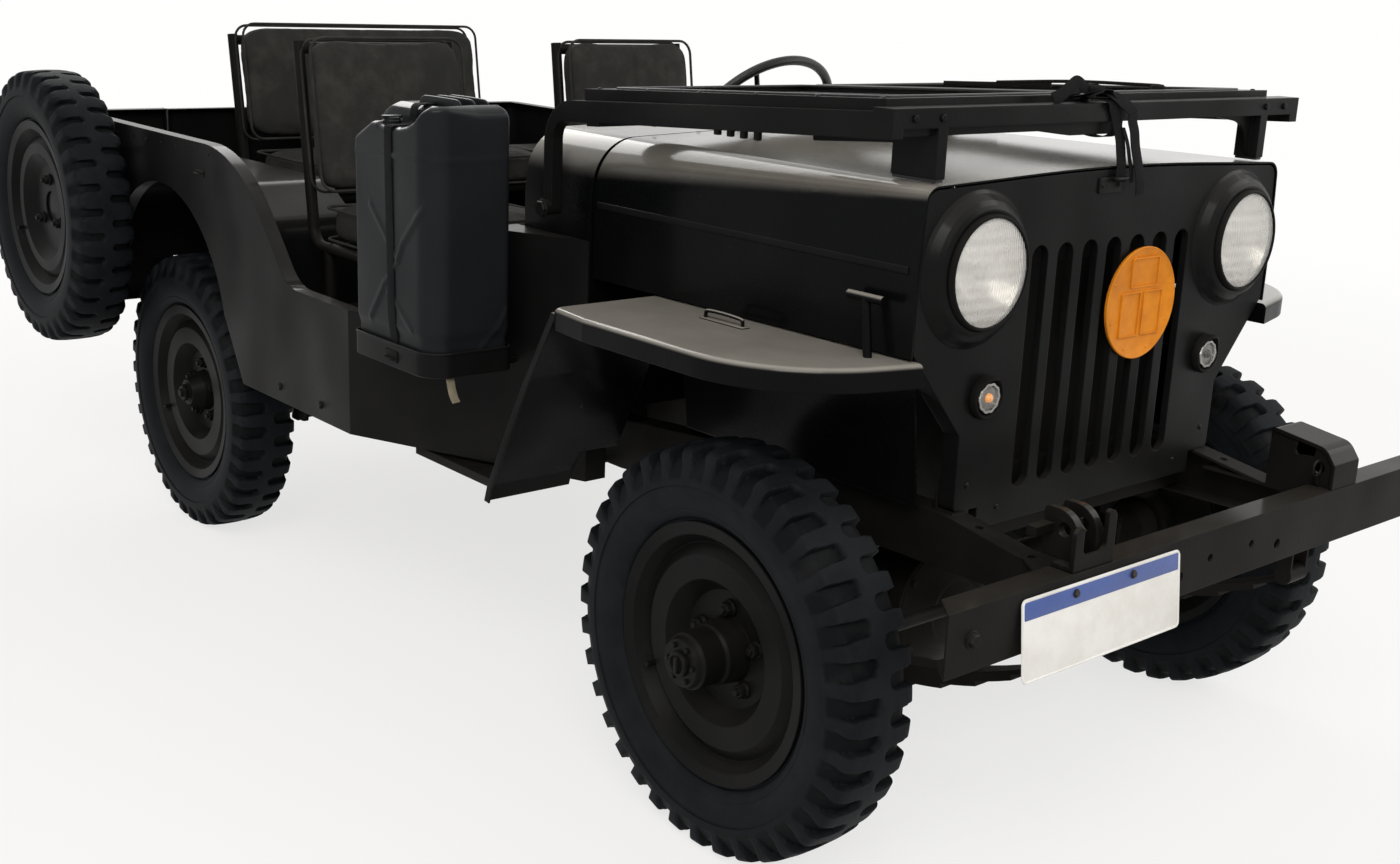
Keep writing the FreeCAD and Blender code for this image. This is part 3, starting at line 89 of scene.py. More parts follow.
# ------------------------------------------------------------------ shader expressions
class Signal:
    """One number that runs through a material, with arithmetic that adds Math nodes."""

    def __init__(self, graph: "Graph", socket: bpy.types.NodeSocket) -> None:
        """Wraps a socket of a graph."""
        self.graph = graph
        self.socket = socket

    def _math(self, operation: str, *values: "Signal | float", clamp: bool = False) -> "Signal":
        """Adds one Math node.

        Args:
            operation: The Math node's operation.
            values: Its inputs in order, as signals or numbers.
            clamp: Whether the result is held between 0 and 1.

        Returns:
            The node's result.
        """
        node = self.graph.add("ShaderNodeMath", {"operation": operation, "use_clamp": clamp},
                              dict(enumerate(values)))
        return Signal(self.graph, node.outputs[0])

    def __add__(self, other: "Signal | float") -> "Signal":
        """Sum."""
        return self._math("ADD", self, other)

    __radd__ = __add__

    def __sub__(self, other: "Signal | float") -> "Signal":
        """Difference."""
        return self._math("SUBTRACT", self, other)

    def __rsub__(self, other: "Signal | float") -> "Signal":
        """Difference, the other way round."""
        return self._math("SUBTRACT", other, self)

    def __mul__(self, other: "Signal | float") -> "Signal":
        """Product."""
        return self._math("MULTIPLY", self, other)

    __rmul__ = __mul__

    def __pow__(self, other: float) -> "Signal":
        """Power."""
        return self._math("POWER", self, other)

    def clamped(self) -> "Signal":
        """Held between 0 and 1."""
        return self._math("ADD", self, 0.0, clamp=True)

    def larger(self, other: "Signal | float") -> "Signal":
        """The larger of the two."""
        return self._math("MAXIMUM", self, other)

    def size(self) -> "Signal":
        """Without its sign."""
        return self._math("ABSOLUTE", self)

    def wave(self) -> "Signal":
        """Its sine."""
        return self._math("SINE", self)

    def step(self, low: float, high: float) -> "Signal":
        """0 below low, 1 above high (or the other way round), smooth between."""
        node = self.graph.add("ShaderNodeMapRange", {"interpolation_type": "SMOOTHSTEP"},
                              {"Value": self, "From Min": low, "From Max": high})
        return Signal(self.graph, node.outputs["Result"])


Value = Signal | float


class Graph:
    """The nodes of one material."""

    def __init__(self, name: str) -> None:
        """Makes an empty material.

        Args:
            name: The material's name.
        """
        self.material = bpy.data.materials.new(name)
        self.material.use_nodes = True
        self.tree = self.material.node_tree
        self.tree.nodes.clear()

    def add(self, kind: str, settings: dict | None = None, inputs: dict | None = None) -> bpy.types.Node:
        """Adds any node.

        Args:
            kind: The node's type.
            settings: Its properties by name; "stops" are a ramp's (position, colour) pairs.
            inputs: Values, sockets or signals for its sockets, by name or number.

        Returns:
            The new node.
        """
        node = self.tree.nodes.new(kind)
        for name, value in (settings or {}).items():
            if name == "stops":
                ramp = node.color_ramp
                while len(ramp.elements) < len(value):
                    ramp.elements.new(0.5)
                for element, (position, colour) in zip(ramp.elements, value):
                    element.position = position
                    element.color = (*colour, 1.0)
            else:
                setattr(node, name, value)
        for name, value in (inputs or {}).items():
            socket = node.inputs[name]
            if isinstance(value, Signal):
                self.tree.links.new(value.socket, socket)
            elif isinstance(value, bpy.types.NodeSocket):
                self.tree.links.new(value, socket)
            elif socket.type == "RGBA" and len(value) == 3:
                socket.default_value = (*value, 1.0)
            else:
                socket.default_value = value
        return node

    def place(self) -> bpy.types.NodeSocket:
        """Object coordinates, in metres of the row frame."""
        return self.add("ShaderNodeTexCoord").outputs["Object"]

    def stretched(self, scale: Point, source: bpy.types.NodeSocket | None = None) -> bpy.types.NodeSocket:
        """Coordinates scaled along each axis."""
        node = self.add("ShaderNodeMapping", {}, {"Vector": source or self.place(), "Scale": scale})
        return node.outputs[0]

    def parts(self, vector: bpy.types.NodeSocket) -> tuple[Signal, Signal, Signal]:
        """The three numbers of a vector."""
        node = self.add("ShaderNodeSeparateXYZ", {}, {0: vector})
        return tuple(Signal(self, s) for s in node.outputs)

    def noise(self, scale: float, detail: float = 3.0, roughness: float = 0.5,
              vector: bpy.types.NodeSocket | None = None) -> Signal:
        """Cloudy noise from 0 to 1."""
        node = self.add("ShaderNodeTexNoise", {}, {"Vector": vector or self.place(), "Scale": scale,
                                                   "Detail": detail, "Roughness": roughness})
        return Signal(self, node.outputs[0])

    def attribute(self, name: str) -> bpy.types.Node:
        """A mesh attribute."""
        return self.add("ShaderNodeAttribute", {"attribute_name": name})

    def upward(self) -> Signal:
        """How far the surface faces up, from -1 to 1."""
        return self.parts(self.add("ShaderNodeNewGeometry").outputs["Normal"])[2]

    def mix(self, share: Value, first: Colour | bpy.types.NodeSocket,
            second: Colour | bpy.types.NodeSocket, blend: str = "MIX") -> bpy.types.NodeSocket:
        """One colour laid over another.

        Args:
            share: How much of the second shows.
            first: The colour beneath.
            second: The colour on top.
            blend: The Mix node's blend type.

        Returns:
            The mixed colour.
        """
        node = self.add("ShaderNodeMix", {"data_type": "RGBA", "blend_type": blend},
                        {0: share, 6: first, 7: second})
        return node.outputs[2]

    def relief(self, height: Signal, depth: float, strength: float = 1.0,
               under: bpy.types.NodeSocket | None = None) -> bpy.types.NodeSocket:
        """Bump of a depth in metres, on top of another where one is given.

        Args:
            height: The pattern.
            depth: Its depth.
            strength: How strongly it shows.
            under: A normal it lies on.

        Returns:
            The normal.
        """
        inputs = {"Height": height, "Distance": depth, "Strength": strength}
        if under is not None:
            inputs["Normal"] = under
        return self.add("ShaderNodeBump", {}, inputs).outputs[0]

    def finish(self, **sockets: Value | Colour | bpy.types.NodeSocket) -> bpy.types.Material:
        """Closes the material with a principled surface.

        Args:
            sockets: Socket names, with underscores for spaces, and their values.

        Returns:
            The material.
        """
        shader = self.add("ShaderNodeBsdfPrincipled", {},
                          {name.replace("_", " "): value for name, value in sockets.items()})
        self.add("ShaderNodeOutputMaterial", {}, {"Surface": shader.outputs[0]})
        return self.material


# ------------------------------------------------------------------ finishes
@dataclass(frozen=True)
class Finish:
    """A named finish. Each kind says how its material is made."""

    name: str

    def graph(self) -> bpy.types.Material:
        """Makes the material."""
        raise NotImplementedError

    def material(self) -> bpy.types.Material:
        """The finish's material, made once."""
        return bpy.data.materials.get(self.name) or self.graph()


@dataclass(frozen=True)
class Paint(Finish):
    """Brushed satin vehicle paint: dust, rubbed spots, fine grain, a slight wave and eased edges, and a pale
    film on what faces up that is partly dust and partly painted sunlight.

    Args:
        colour: The main colour; it clouds into second.
        gloss: The roughness where it is clean.
        shine: The specular level.
        varnish: Coat weight on what faces up; a twentieth of it lies on upright faces.
        dust: Cloudy dust low down and on what faces up, in dust_and_painted_sun_colour.
        top_dust_and_painted_sun: An even pale film on what faces up, in the same colour: partly dust, partly
            painted sunlight.
        chips: How strongly chips and rubbed streaks show, in chip_colour.
        wave: A thirtieth of the depth of the slow wave, in metres.
        grain: An eighth of the depth of the fine grain, in metres.
    """

    colour: Colour = (0.0042, 0.0043, 0.0045)
    second: Colour = (0.0076, 0.0076, 0.0076)
    gloss: float = 0.36
    shine: float = 0.05
    varnish: float = 0.0
    dust: float = 0.14
    top_dust_and_painted_sun: float = 0.0
    dust_and_painted_sun_colour: Colour = (0.085, 0.074, 0.06)
    chips: float = 0.25
    chip_colour: Colour = (0.05, 0.047, 0.045)
    wave: float = 0.0012
    grain: float = 0.00012

    def graph(self) -> bpy.types.Material:
        """Dust gathers low down and on what faces up, where a pale film of painted sunlight is laid as well;
        chips are small specks where two noises meet.

        Returns:
            The material.
        """
        g = Graph(self.name)
        cloud = g.noise(2.3, 5.0, 0.6)
        speck = g.noise(150.0, 3.0, 0.7)
        patch = g.noise(9.0, 4.0, 0.65)
        _, _, high = g.parts(g.place())
        low_down = high.step(0.85, 0.25)
        facing_up = g.upward().step(0.2, 0.92)
        settled = (low_down * 0.4 + facing_up * 0.35 + 0.08) * (patch.step(0.3, 0.75) * 0.8 + 0.3)
        # dust holds real dust plus the pale film on upward faces, which is painted sunlight.
        dust = (settled * self.dust + facing_up * (patch * 0.5 + 0.75) * self.top_dust_and_painted_sun).clamped()
        chip = (speck.step(0.66, 0.7) * patch.step(0.56, 0.66) * self.chips).clamped()
        streak = g.noise(1.0, 4.0, 0.6, g.stretched((5.0, 90.0, 90.0))).step(0.66, 0.74)
        colour = g.mix(cloud.step(0.35, 0.7), self.colour, self.second)
        # Lays the dust and the painted sunlit film over the paint's colour.
        colour = g.mix(dust, colour, self.dust_and_painted_sun_colour)
        colour = g.mix((streak * 0.12 * self.chips + chip).clamped(), colour, self.chip_colour)
        gloss = dust * 0.55 + cloud * 0.1 + speck * 0.06 + (self.gloss - 0.08)
        edge = g.add("ShaderNodeBevel", {"samples": 4}, {"Radius": 0.0035}).outputs[0]
        wave = g.relief(g.noise(3.2, 1.0, 0.4), self.wave * 30, 1.0, edge)
        normal = g.relief(speck, self.grain * 8, 0.35, wave)
        return g.finish(Base_Color=colour, Roughness=gloss.clamped(), Normal=normal,
                        Specular_IOR_Level=self.shine,
                        Coat_Weight=facing_up * (self.varnish * 0.95) + self.varnish * 0.05,
                        Coat_Roughness=0.12, Coat_IOR=1.45)


@dataclass(frozen=True)
class Rubber(Finish):
    """Dull black rubber, greyer on the worn blocks and dusty in the grooves."""

    worn: Colour = (0.0074, 0.0089, 0.0106)
    deep: Colour = (0.0024, 0.0028, 0.0033)
    soil: Colour = (0.017, 0.0155, 0.0135)

    def graph(self) -> bpy.types.Material:
        """The mesh attribute "groove" is 1 on a groove's floor and 0 on a block.

        Returns:
            The material.
        """
        g = Graph(self.name)
        groove = Signal(g, g.attribute("groove").outputs["Fac"])
        grain = g.noise(260.0, 2.0, 0.7)
        cloud = g.noise(12.0, 4.0, 0.65)
        colour = g.mix((groove * 0.75 + cloud.step(0.62, 0.4) * 0.45).clamped(), self.worn, self.deep)
        colour = g.mix((cloud.step(0.5, 0.8) * (groove * 0.35 + 0.16)).clamped(), colour, self.soil)
        gloss = grain * 0.12 + cloud * 0.14 + 0.5
        return g.finish(Base_Color=colour, Roughness=gloss.clamped(), Normal=g.relief(grain, 0.0009, 0.4),
                        Specular_IOR_Level=0.07)


@dataclass(frozen=True)
class Bare(Finish):
    """Metal, plastic or enamel of nearly one colour, with grain and handling marks."""

    colour: Colour = (0.5, 0.5, 0.5)
    second: Colour = (0.4, 0.4, 0.4)
    gloss: float = 0.4
    metal: float = 0.0
    scale: float = 20.0
    grain: float = 0.00015
    shine: float = 0.5

    def graph(self) -> bpy.types.Material:
        """Two noises, one for colour and one for the grain.

        Returns:
            The material.
        """
        g = Graph(self.name)
        cloud = g.noise(self.scale, 4.0, 0.6)
        grain = g.noise(self.scale * 16.0, 2.0, 0.6)
        colour = g.mix(cloud.step(0.3, 0.75), self.colour, self.second)
        gloss = (cloud * 0.16 + grain * 0.06 + (self.gloss - 0.1)).clamped()
        return g.finish(Base_Color=colour, Roughness=gloss, Metallic=self.metal,
                        Specular_IOR_Level=self.shine, Normal=g.relief(grain, self.grain * 6, 0.35))


@dataclass(frozen=True)
class Glass(Finish):
    """Clear glass seen through by its alpha, with an optional pressed pattern of upright ribs."""

    colour: Colour = (0.8, 0.83, 0.83)
    alpha: float = 0.25
    gloss: float = 0.06
    rib_pitch: float = 0.0

    def graph(self) -> bpy.types.Material:
        """Ribs are a sine along y, with wider level bars as a sine along z.

        Returns:
            The material.
        """
        g = Graph(self.name)
        haze = g.noise(30.0, 4.0, 0.7)
        sockets = {"Base Color": g.mix(haze.step(0.45, 0.8), self.colour, (0.62, 0.6, 0.56)),
                   "Roughness": (haze * 0.14 + self.gloss).clamped(),
                   "Alpha": (haze.step(0.5, 0.85) * 0.14 + self.alpha).clamped(), "IOR": 1.52}
        if self.rib_pitch:
            _, across, up = g.parts(g.place())
            ribs = (across * (TAU / self.rib_pitch)).wave()
            bars = (up * (TAU / (self.rib_pitch * 3.0))).wave()
            sockets["Normal"] = g.relief(ribs * 0.6 + bars * 0.5, 0.0012, 0.7)
        shader = g.add("ShaderNodeBsdfPrincipled", {}, sockets)
        g.add("ShaderNodeOutputMaterial", {}, {"Surface": shader.outputs[0]})
        return g.material


@dataclass(frozen=True)
class Weave(Finish):
    """Coated canvas or webbing: two crossed sets of threads, with dust and rubbed edges."""

    colour: Colour = (0.022, 0.022, 0.02)
    second: Colour = (0.05, 0.047, 0.042)
    pitch: float = 0.0016
    gloss: float = 0.72

    def graph(self) -> bpy.types.Material:
        """Threads are sines along three axes, so the weave shows whichever way the cloth lies.

        Returns:
            The material.
        """
        g = Graph(self.name)
        along, across, up = g.parts(g.place())
        pull = TAU / self.pitch
        weave = (along * pull).wave() * (across * pull).wave() + (up * pull).wave() * 0.5
        cloud = g.noise(14.0, 5.0, 0.65)
        colour = g.mix((cloud.step(0.4, 0.75) * 0.7 + weave * 0.1).clamped(), self.colour, self.second)
        gloss = (cloud * 0.12 + (self.gloss - 0.06)).clamped()
        return g.finish(Base_Color=colour, Roughness=gloss, Specular_IOR_Level=0.08,
                        Normal=g.relief(weave, self.pitch * 0.25, 0.6))


@dataclass(frozen=True)
class Glow(Finish):
    """A small coloured bulb."""

    colour: Colour = (0.9, 0.35, 0.08)
    power: float = 0.6

    def graph(self) -> bpy.types.Material:
        """Plain coloured glass that gives a little light."""
        g = Graph(self.name)
        return g.finish(Base_Color=self.colour, Roughness=0.25, Emission_Color=self.colour,
                        Emission_Strength=self.power)


BODY_PAINT = Paint("body_paint", varnish=0.3, top_dust_and_painted_sun=0.04)
# The hood, cowl and fenders carry a strong cream film on what faces up: a painted sunlit highlight, with a
# little dust.
HOOD_PAINT = Paint("hood_paint", (0.0016, 0.0018, 0.002), (0.003, 0.003, 0.0032), 0.28, 0.035, 1.0, 0.03,
                   0.75, (0.33, 0.305, 0.265))
CHASSIS_PAINT = Paint("chassis_paint", (0.0046, 0.0045, 0.0043), (0.0085, 0.008, 0.0072), 0.5, 0.05, dust=0.2)
BUMPER_PAINT = Paint("bumper_paint", (0.0042, 0.0039, 0.0035), (0.0072, 0.0066, 0.0058), 0.42, 0.045, 0.3,
                     0.12, 0.14, chips=0.4)
WHEEL_PAINT = Paint("wheel_paint_worn", (0.0028, 0.0029, 0.003), (0.0042, 0.0042, 0.0042), 0.42, 0.06,
                    dust=0.07)
CAN_PAINT = Paint("can_paint_worn", (0.0088, 0.01, 0.0112), (0.0112, 0.0124, 0.0132), 0.38, 0.06, 0.6, 0.06)
TYRE = Rubber("tyre_tread_rubber")
IRON = Bare("oily_iron", (0.03, 0.027, 0.024), (0.014, 0.013, 0.012), 0.45, 0.3, 18.0, shine=0.25)
EXHAUST = Bare("exhaust_scale", (0.06, 0.038, 0.027), (0.025, 0.02, 0.018), 0.65, 0.2, 12.0, shine=0.25)
PLASTIC = Bare("hard_plastic", (0.006, 0.006, 0.0062), (0.011, 0.011, 0.011), 0.34, 0.0, 30.0, shine=0.3)
MIRROR = Bare("lamp_reflector", (0.68, 0.64, 0.57), (0.5, 0.46, 0.41), 0.2, 1.0, 40.0, 0.00002)
CHROME = Bare("dull_chrome", (0.34, 0.33, 0.31), (0.22, 0.21, 0.2), 0.26, 1.0, 60.0, 0.00003)
DULL_MIRROR = Bare("parking_reflector", (0.2, 0.19, 0.18), (0.1, 0.095, 0.09), 0.3, 1.0, 60.0, 0.00003)
ENAMEL_WHITE = Bare("plate_white", (0.72, 0.71, 0.68), (0.62, 0.6, 0.56), 0.35, 0.0, 14.0)
ENAMEL_BLUE = Bare("plate_blue", (0.035, 0.075, 0.27), (0.03, 0.06, 0.22), 0.35, 0.0, 14.0)
DISC_PAINT = Bare("disc_orange", (0.64, 0.215, 0.01), (0.52, 0.165, 0.008), 0.5, 0.0, 26.0, shine=0.15)
DIAL_FACE = Bare("dial_face", (0.012, 0.012, 0.013), (0.018, 0.018, 0.018), 0.5, 0.0, 40.0)
DIAL_WHITE = Bare("dial_marks", (0.7, 0.7, 0.66), (0.6, 0.6, 0.56), 0.5, 0.0, 40.0)
LAMP_LENS = Glass("lamp_lens", (0.8, 0.79, 0.76), 0.42, 0.05, 0.006)
SMALL_LENS = Glass("small_lens", (0.7, 0.68, 0.64), 0.1, 0.05)
WINDOW = Glass("window_pane", (0.75, 0.8, 0.8), 0.16, 0.03)
RED_LENS = Glass("red_lens", (0.33, 0.012, 0.01), 0.93, 0.12, 0.006)
CANVAS = Weave("seat_canvas")
WEBBING = Weave("black_webbing", (0.0035, 0.0035, 0.004), (0.011, 0.0105, 0.0105), 0.0022)
TAN_WEBBING = Weave("tan_webbing", (0.2, 0.17, 0.12), (0.3, 0.26, 0.19), 0.002)
AMBER = Glow("amber_bulb", (0.75, 0.3, 0.06), 0.25)


# ------------------------------------------------------------------ surfaces
@dataclass(frozen=True)
class Place:
    """A local frame of the vehicle, in millimetres: a point and where local x, y and z point."""

    at: Point
    x: Point = (1.0, 0.0, 0.0)
    y: Point = (0.0, 1.0, 0.0)
    z: Point = (0.0, 0.0, 1.0)

    def of(self, local: np.ndarray) -> np.ndarray:
        """Local points as points of the vehicle."""
        axes = np.array([self.x, self.y, self.z], float)
        return np.asarray(self.at, float) + np.asarray(local, float) @ axes


def facing(at: Point, normal: Point, up: Point = (0.0, 0.0, 1.0)) -> Place:
    """A frame whose z points along a normal and whose y is as near as it can be to up.

    Args:
        at: Its origin.
        normal: Where z points, of any length.
        up: Where y should point.

    Returns:
        The frame.
    """
    z = np.array(normal, float) / np.linalg.norm(normal)
    x = np.cross(np.array(up, float), z)
    x /= np.linalg.norm(x)
    return Place(tuple(at), tuple(x), tuple(np.cross(z, x)), tuple(z))


def circle(count: int, phase: float = 0.0) -> np.ndarray:
    """Angles evenly round a circle."""
    return phase + np.arange(count) * (TAU / count)


def revolved(profile: Sequence[tuple[float, float]], segments: int, sides: int = 0) -> np.ndarray:
    """Surface of revolution about local z: point (i, j) is profile point i turned by angle j.

    Args:
        profile: (height, radius) pairs.
        segments: Points round the axis.
        sides: For a nut or bolt head, the number of flats; the radius is then that of a polygon,
            r cos(pi / n) / cos(angle from the flat's middle).

    Returns:
        A grid of local points.
    """
    height, radius = np.array(profile, float).T
    angle = circle(segments)
    scale = np.ones_like(angle)
    if sides:
        half = math.pi / sides
        scale = math.cos(half) / np.cos(np.mod(angle, 2 * half) - half)
    ring = radius[:, None] * scale[None, :]
    return np.stack([ring * np.cos(angle), ring * np.sin(angle),
                     np.broadcast_to(height[:, None], ring.shape)], axis=-1)


def carried(profile: np.ndarray, path: np.ndarray, up: Point = (0.0, 0.0, 1.0),
            roll: np.ndarray | None = None) -> np.ndarray:
    """A flat profile carried along a path.

    Point (i, j) is path point i plus profile x times the side vector plus profile y times the upper
    vector, where the side vector is tangent cross up and roll turns both about the tangent.

    Args:
        profile: (k, 2) points round the section.
        path: (m, 3) points to follow.
        up: A direction that the path never runs along.
        roll: Turn of the section at each path point, in radians.

    Returns:
        A grid of points.
    """
    path = np.asarray(path, float)
    tangent = np.gradient(path, axis=0)
    tangent /= np.linalg.norm(tangent, axis=1, keepdims=True)
    side = np.cross(tangent, np.asarray(up, float))
    side /= np.linalg.norm(side, axis=1, keepdims=True)
    over = np.cross(side, tangent)
    if roll is not None:
        c, s = np.cos(roll)[:, None], np.sin(roll)[:, None]
        side, over = side * c + over * s, over * c - side * s
    return (path[:, None, :] + profile[None, :, 0, None] * side[:, None]
            + profile[None, :, 1, None] * over[:, None])


def smooth_path(points: Sequence[Point], count: int) -> np.ndarray:
    """A path through points: on each span a Hermite cubic with tangents half the neighbours' difference.

    Args:
        points: The points it passes through.
        count: Points along the result.

    Returns:
        (count, 3) points.
    """
    p = np.asarray(points, float)
    slope = np.gradient(p, axis=0)
    t = np.linspace(0, len(p) - 1 - 1e-9, count)
    i = t.astype(int)
    u = (t - i)[:, None]
    a, b, m, n = p[i], p[i + 1], slope[i], slope[i + 1]
    return ((2 * u ** 3 - 3 * u ** 2 + 1) * a + (u ** 3 - 2 * u ** 2 + u) * m
            + (3 * u ** 2 - 2 * u ** 3) * b + (u ** 3 - u ** 2) * n)


def round_section(radius: float, count: int = 12) -> np.ndarray:
    """Points round a circle."""
    angle = circle(count)
    return np.stack([radius * np.cos(angle), radius * np.sin(angle)], axis=-1)


def rounded_rectangle(width: float, height: float, radius: float, steps: int = 4) -> np.ndarray:
    """Points round a rectangle about its middle, with quarter circles at its corners.

    Args:
        width: Size along x.
        height: Size along y.
        radius: Radius of the corners.
        steps: Steps in each quarter circle.

    Returns:
        (n, 2) points, anticlockwise.
    """
    turn = np.linspace(0, math.pi / 2, steps + 1)
    corner = radius * np.stack([np.cos(turn), np.sin(turn)], axis=-1)
    x, y = width / 2 - radius, height / 2 - radius
    spin = np.array([[0.0, 1.0], [-1.0, 0.0]])
    quarters = []
    for centre in ((x, y), (-x, y), (-x, -y), (x, -y)):
        quarters.append(corner + np.array(centre))
        corner = corner @ spin
    return np.concatenate(quarters)


def cornered(low: np.ndarray, high: np.ndarray, radii: Sequence[float], steps: int = 10) -> np.ndarray:
    """Points round a rectangle, anticlockwise from its low corner, with a radius for each corner.

    Args:
        low: Its low corner.
        high: Its high corner.
        radii: The four radii.
        steps: Steps in each quarter circle.

    Returns:
        (n, 2) points.
    """
    quarters = []
    corners = ((low[0], low[1]), (high[0], low[1]), (high[0], high[1]), (low[0], high[1]))
    for k, ((x, y), radius) in enumerate(zip(corners, radii)):
        inward = np.array([1.0 if x == low[0] else -1.0, 1.0 if y == low[1] else -1.0]) * radius
        turn = math.pi * (1 + k / 2) + np.linspace(0, math.pi / 2, steps + 1)
        quarters.append(np.array([x, y]) + inward + radius * np.stack([np.cos(turn), np.sin(turn)], axis=-1))
    return np.concatenate(quarters)


def inset(outline: np.ndarray, distance: float) -> np.ndarray:
    """An outline drawn in along the mean of each corner's two edge normals.

    Args:
        outline: (n, 2) points, anticlockwise.
        distance: How far in.

    Returns:
        The new outline.
    """
    ahead = np.roll(outline, -1, axis=0) - outline
    normal = np.stack([ahead[:, 1], -ahead[:, 0]], axis=-1)
    normal /= np.linalg.norm(normal, axis=1, keepdims=True)
    mean = normal + np.roll(normal, 1, axis=0)
    mean /= (mean ** 2).sum(axis=1, keepdims=True) / 2
    return outline - mean * distance


def slab(outline: np.ndarray, low: float, high: float, edge: float) -> np.ndarray:
    """A flat plate with eased top edges, as rings from its foot to its top; the ends are capped."""
    rings = [(0.0, low), (0.0, high - edge), (edge * 0.3, high - edge * 0.3), (edge, high)]
    return np.stack([np.column_stack([inset(outline, d), np.full(len(outline), h)]) for d, h in rings])


def eased(share: np.ndarray) -> np.ndarray:
    """The smooth step of a share held between 0 and 1: 3 s^2 - 2 s^3."""
    share = np.clip(share, 0.0, 1.0)
    return share * share * (3.0 - 2.0 * share)


def node_box(node: str) -> tuple[np.ndarray, np.ndarray]:
    """The low and high corner of a node of the frame, in vehicle millimetres."""
    low, high = (np.array(corner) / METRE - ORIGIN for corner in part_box(node))
    return low, high


def run_along(points: np.ndarray) -> np.ndarray:
    """Length along a flat line up to each of its points."""
    return np.concatenate([[0.0], np.cumsum(np.hypot(*np.diff(points, axis=0).T))])


def turned_flat(points: np.ndarray, angle: float) -> np.ndarray:
    """Points turned about y, so that x goes towards z: x' = x cos - z sin, z' = x sin + z cos.

    Args:
        points: (..., 3) points.
        angle: In radians.

    Returns:
        The turned points.
    """
    c, s = math.cos(angle), math.sin(angle)
    x, y, z = points[..., 0], points[..., 1], points[..., 2]
    return np.stack([x * c - z * s, y, x * s + z * c], axis=-1)


@dataclass
class Shape:
    """Vertices in vehicle millimetres and faces, gathered for one mesh."""

    points: list[np.ndarray] = field(default_factory=list)
    faces: list[list[int]] = field(default_factory=list)
    grooves: list[np.ndarray] = field(default_factory=list)
    count: int = 0

    def grid(self, surface: np.ndarray, place: Place | None = None, loop_u: bool = False, loop_v: bool = True,
             caps: bool = True, groove: np.ndarray | None = None) -> "Shape":
        """Adds a surface given as a grid of points.

        Args:
            surface: (m, n, 3) points.
            place: The local frame the points are in; none for the vehicle's own.
            loop_u: Whether the last row joins the first.
            loop_v: Whether the last column joins the first.
            caps: Whether the first and last row are closed with a face.
            groove: Attribute value of each point.

        Returns:
            This shape.
        """
        m, n, _ = surface.shape
        points = surface.reshape(-1, 3)
        self.points.append(place.of(points) if place else points)
        self.grooves.append(np.zeros(m * n) if groove is None else groove.reshape(-1))
        index = self.count + np.arange(m * n).reshape(m, n)
        if loop_u:
            index = np.concatenate([index, index[:1]])
        if loop_v:
            index = np.concatenate([index, index[:, :1]], axis=1)
        quads = np.stack([index[:-1, :-1], index[1:, :-1], index[1:, 1:], index[:-1, 1:]], axis=-1)
        self.faces += quads.reshape(-1, 4).tolist()
        if caps and loop_v and not loop_u:
            self.faces += [index[0, :-1].tolist(), index[-1, :-1][::-1].tolist()]
        self.count += m * n
        return self

    def tube(self, points: Sequence[Point], radius: float, count: int = 24,
             up: Point = (0.0, 0.0, 1.0)) -> "Shape":
        """Adds a round bar along a smooth path through points."""
        return self.grid(carried(round_section(radius), smooth_path(points, count), up))

    def bolt(self, place: Place, across: float, height: float, washer: float = 0.0) -> "Shape":
        """Adds a hexagon head with a chamfered top, on a washer where one has a radius.

        Args:
            place: Its seat.
            across: Size across the flats.
            height: Height of the head.
            washer: The washer's radius.

        Returns:
            This shape.
        """
        r = across / 2 / math.cos(math.pi / 6)
        if washer:
            self.grid(revolved([(0, washer), (1.2, washer), (1.6, washer - 0.5)], 18), place)
        return self.grid(revolved([(0, r), (height * 0.78, r), (height, r * 0.86)], 18, 6), place)

    def rivet(self, place: Place, radius: float, height: float) -> "Shape":
        """Adds a round head: height times the square root of 1 - (r / radius) squared."""
        share = np.array([1.0, 0.92, 0.7, 0.38, 0.02])
        return self.grid(revolved([(height * math.sqrt(1 - s * s), radius * s) for s in share], 14), place)

    def build(self, name: str, finish: Finish, body: Body, slot: Slot, angle: float = 35.0,
              steady: bool = False) -> bpy.types.Object:
        """Makes the mesh object, dresses it and lets it ride.

        Args:
            name: The piece's name.
            finish: Its finish.
            body: The body it moves with.
            slot: The record's material slot.
            angle: Edges sharper than this many degrees stay sharp.
            steady: Whether the faces already point outwards.

        Returns:
            The new object.
        """
        mesh = bpy.data.meshes.new(name)
        points = (np.concatenate(self.points) + ORIGIN) * METRE
        mesh.from_pydata(points.tolist(), [], self.faces)
        groove = np.concatenate(self.grooves)
        if groove.any():
            mesh.attributes.new("groove", "FLOAT", "POINT").data.foreach_set("value",
                                                                             groove.astype(np.float32))
        if not steady:
            work = bmesh.new()
            work.from_mesh(mesh)
            bmesh.ops.recalc_face_normals(work, faces=work.faces)
            work.to_mesh(mesh)
            work.free()
        mesh.polygons.foreach_set("use_smooth", np.ones(len(mesh.polygons), bool))
        mesh.set_sharp_from_angle(angle=math.radians(angle))
        mesh.materials.append(finish.material())
        piece = bpy.data.objects.new(name, mesh)
        bpy.context.scene.collection.objects.link(piece)
        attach(piece, body.value)
        LOG.info("%s: %d faces on %s", name, len(mesh.polygons), body.value)
        return piece


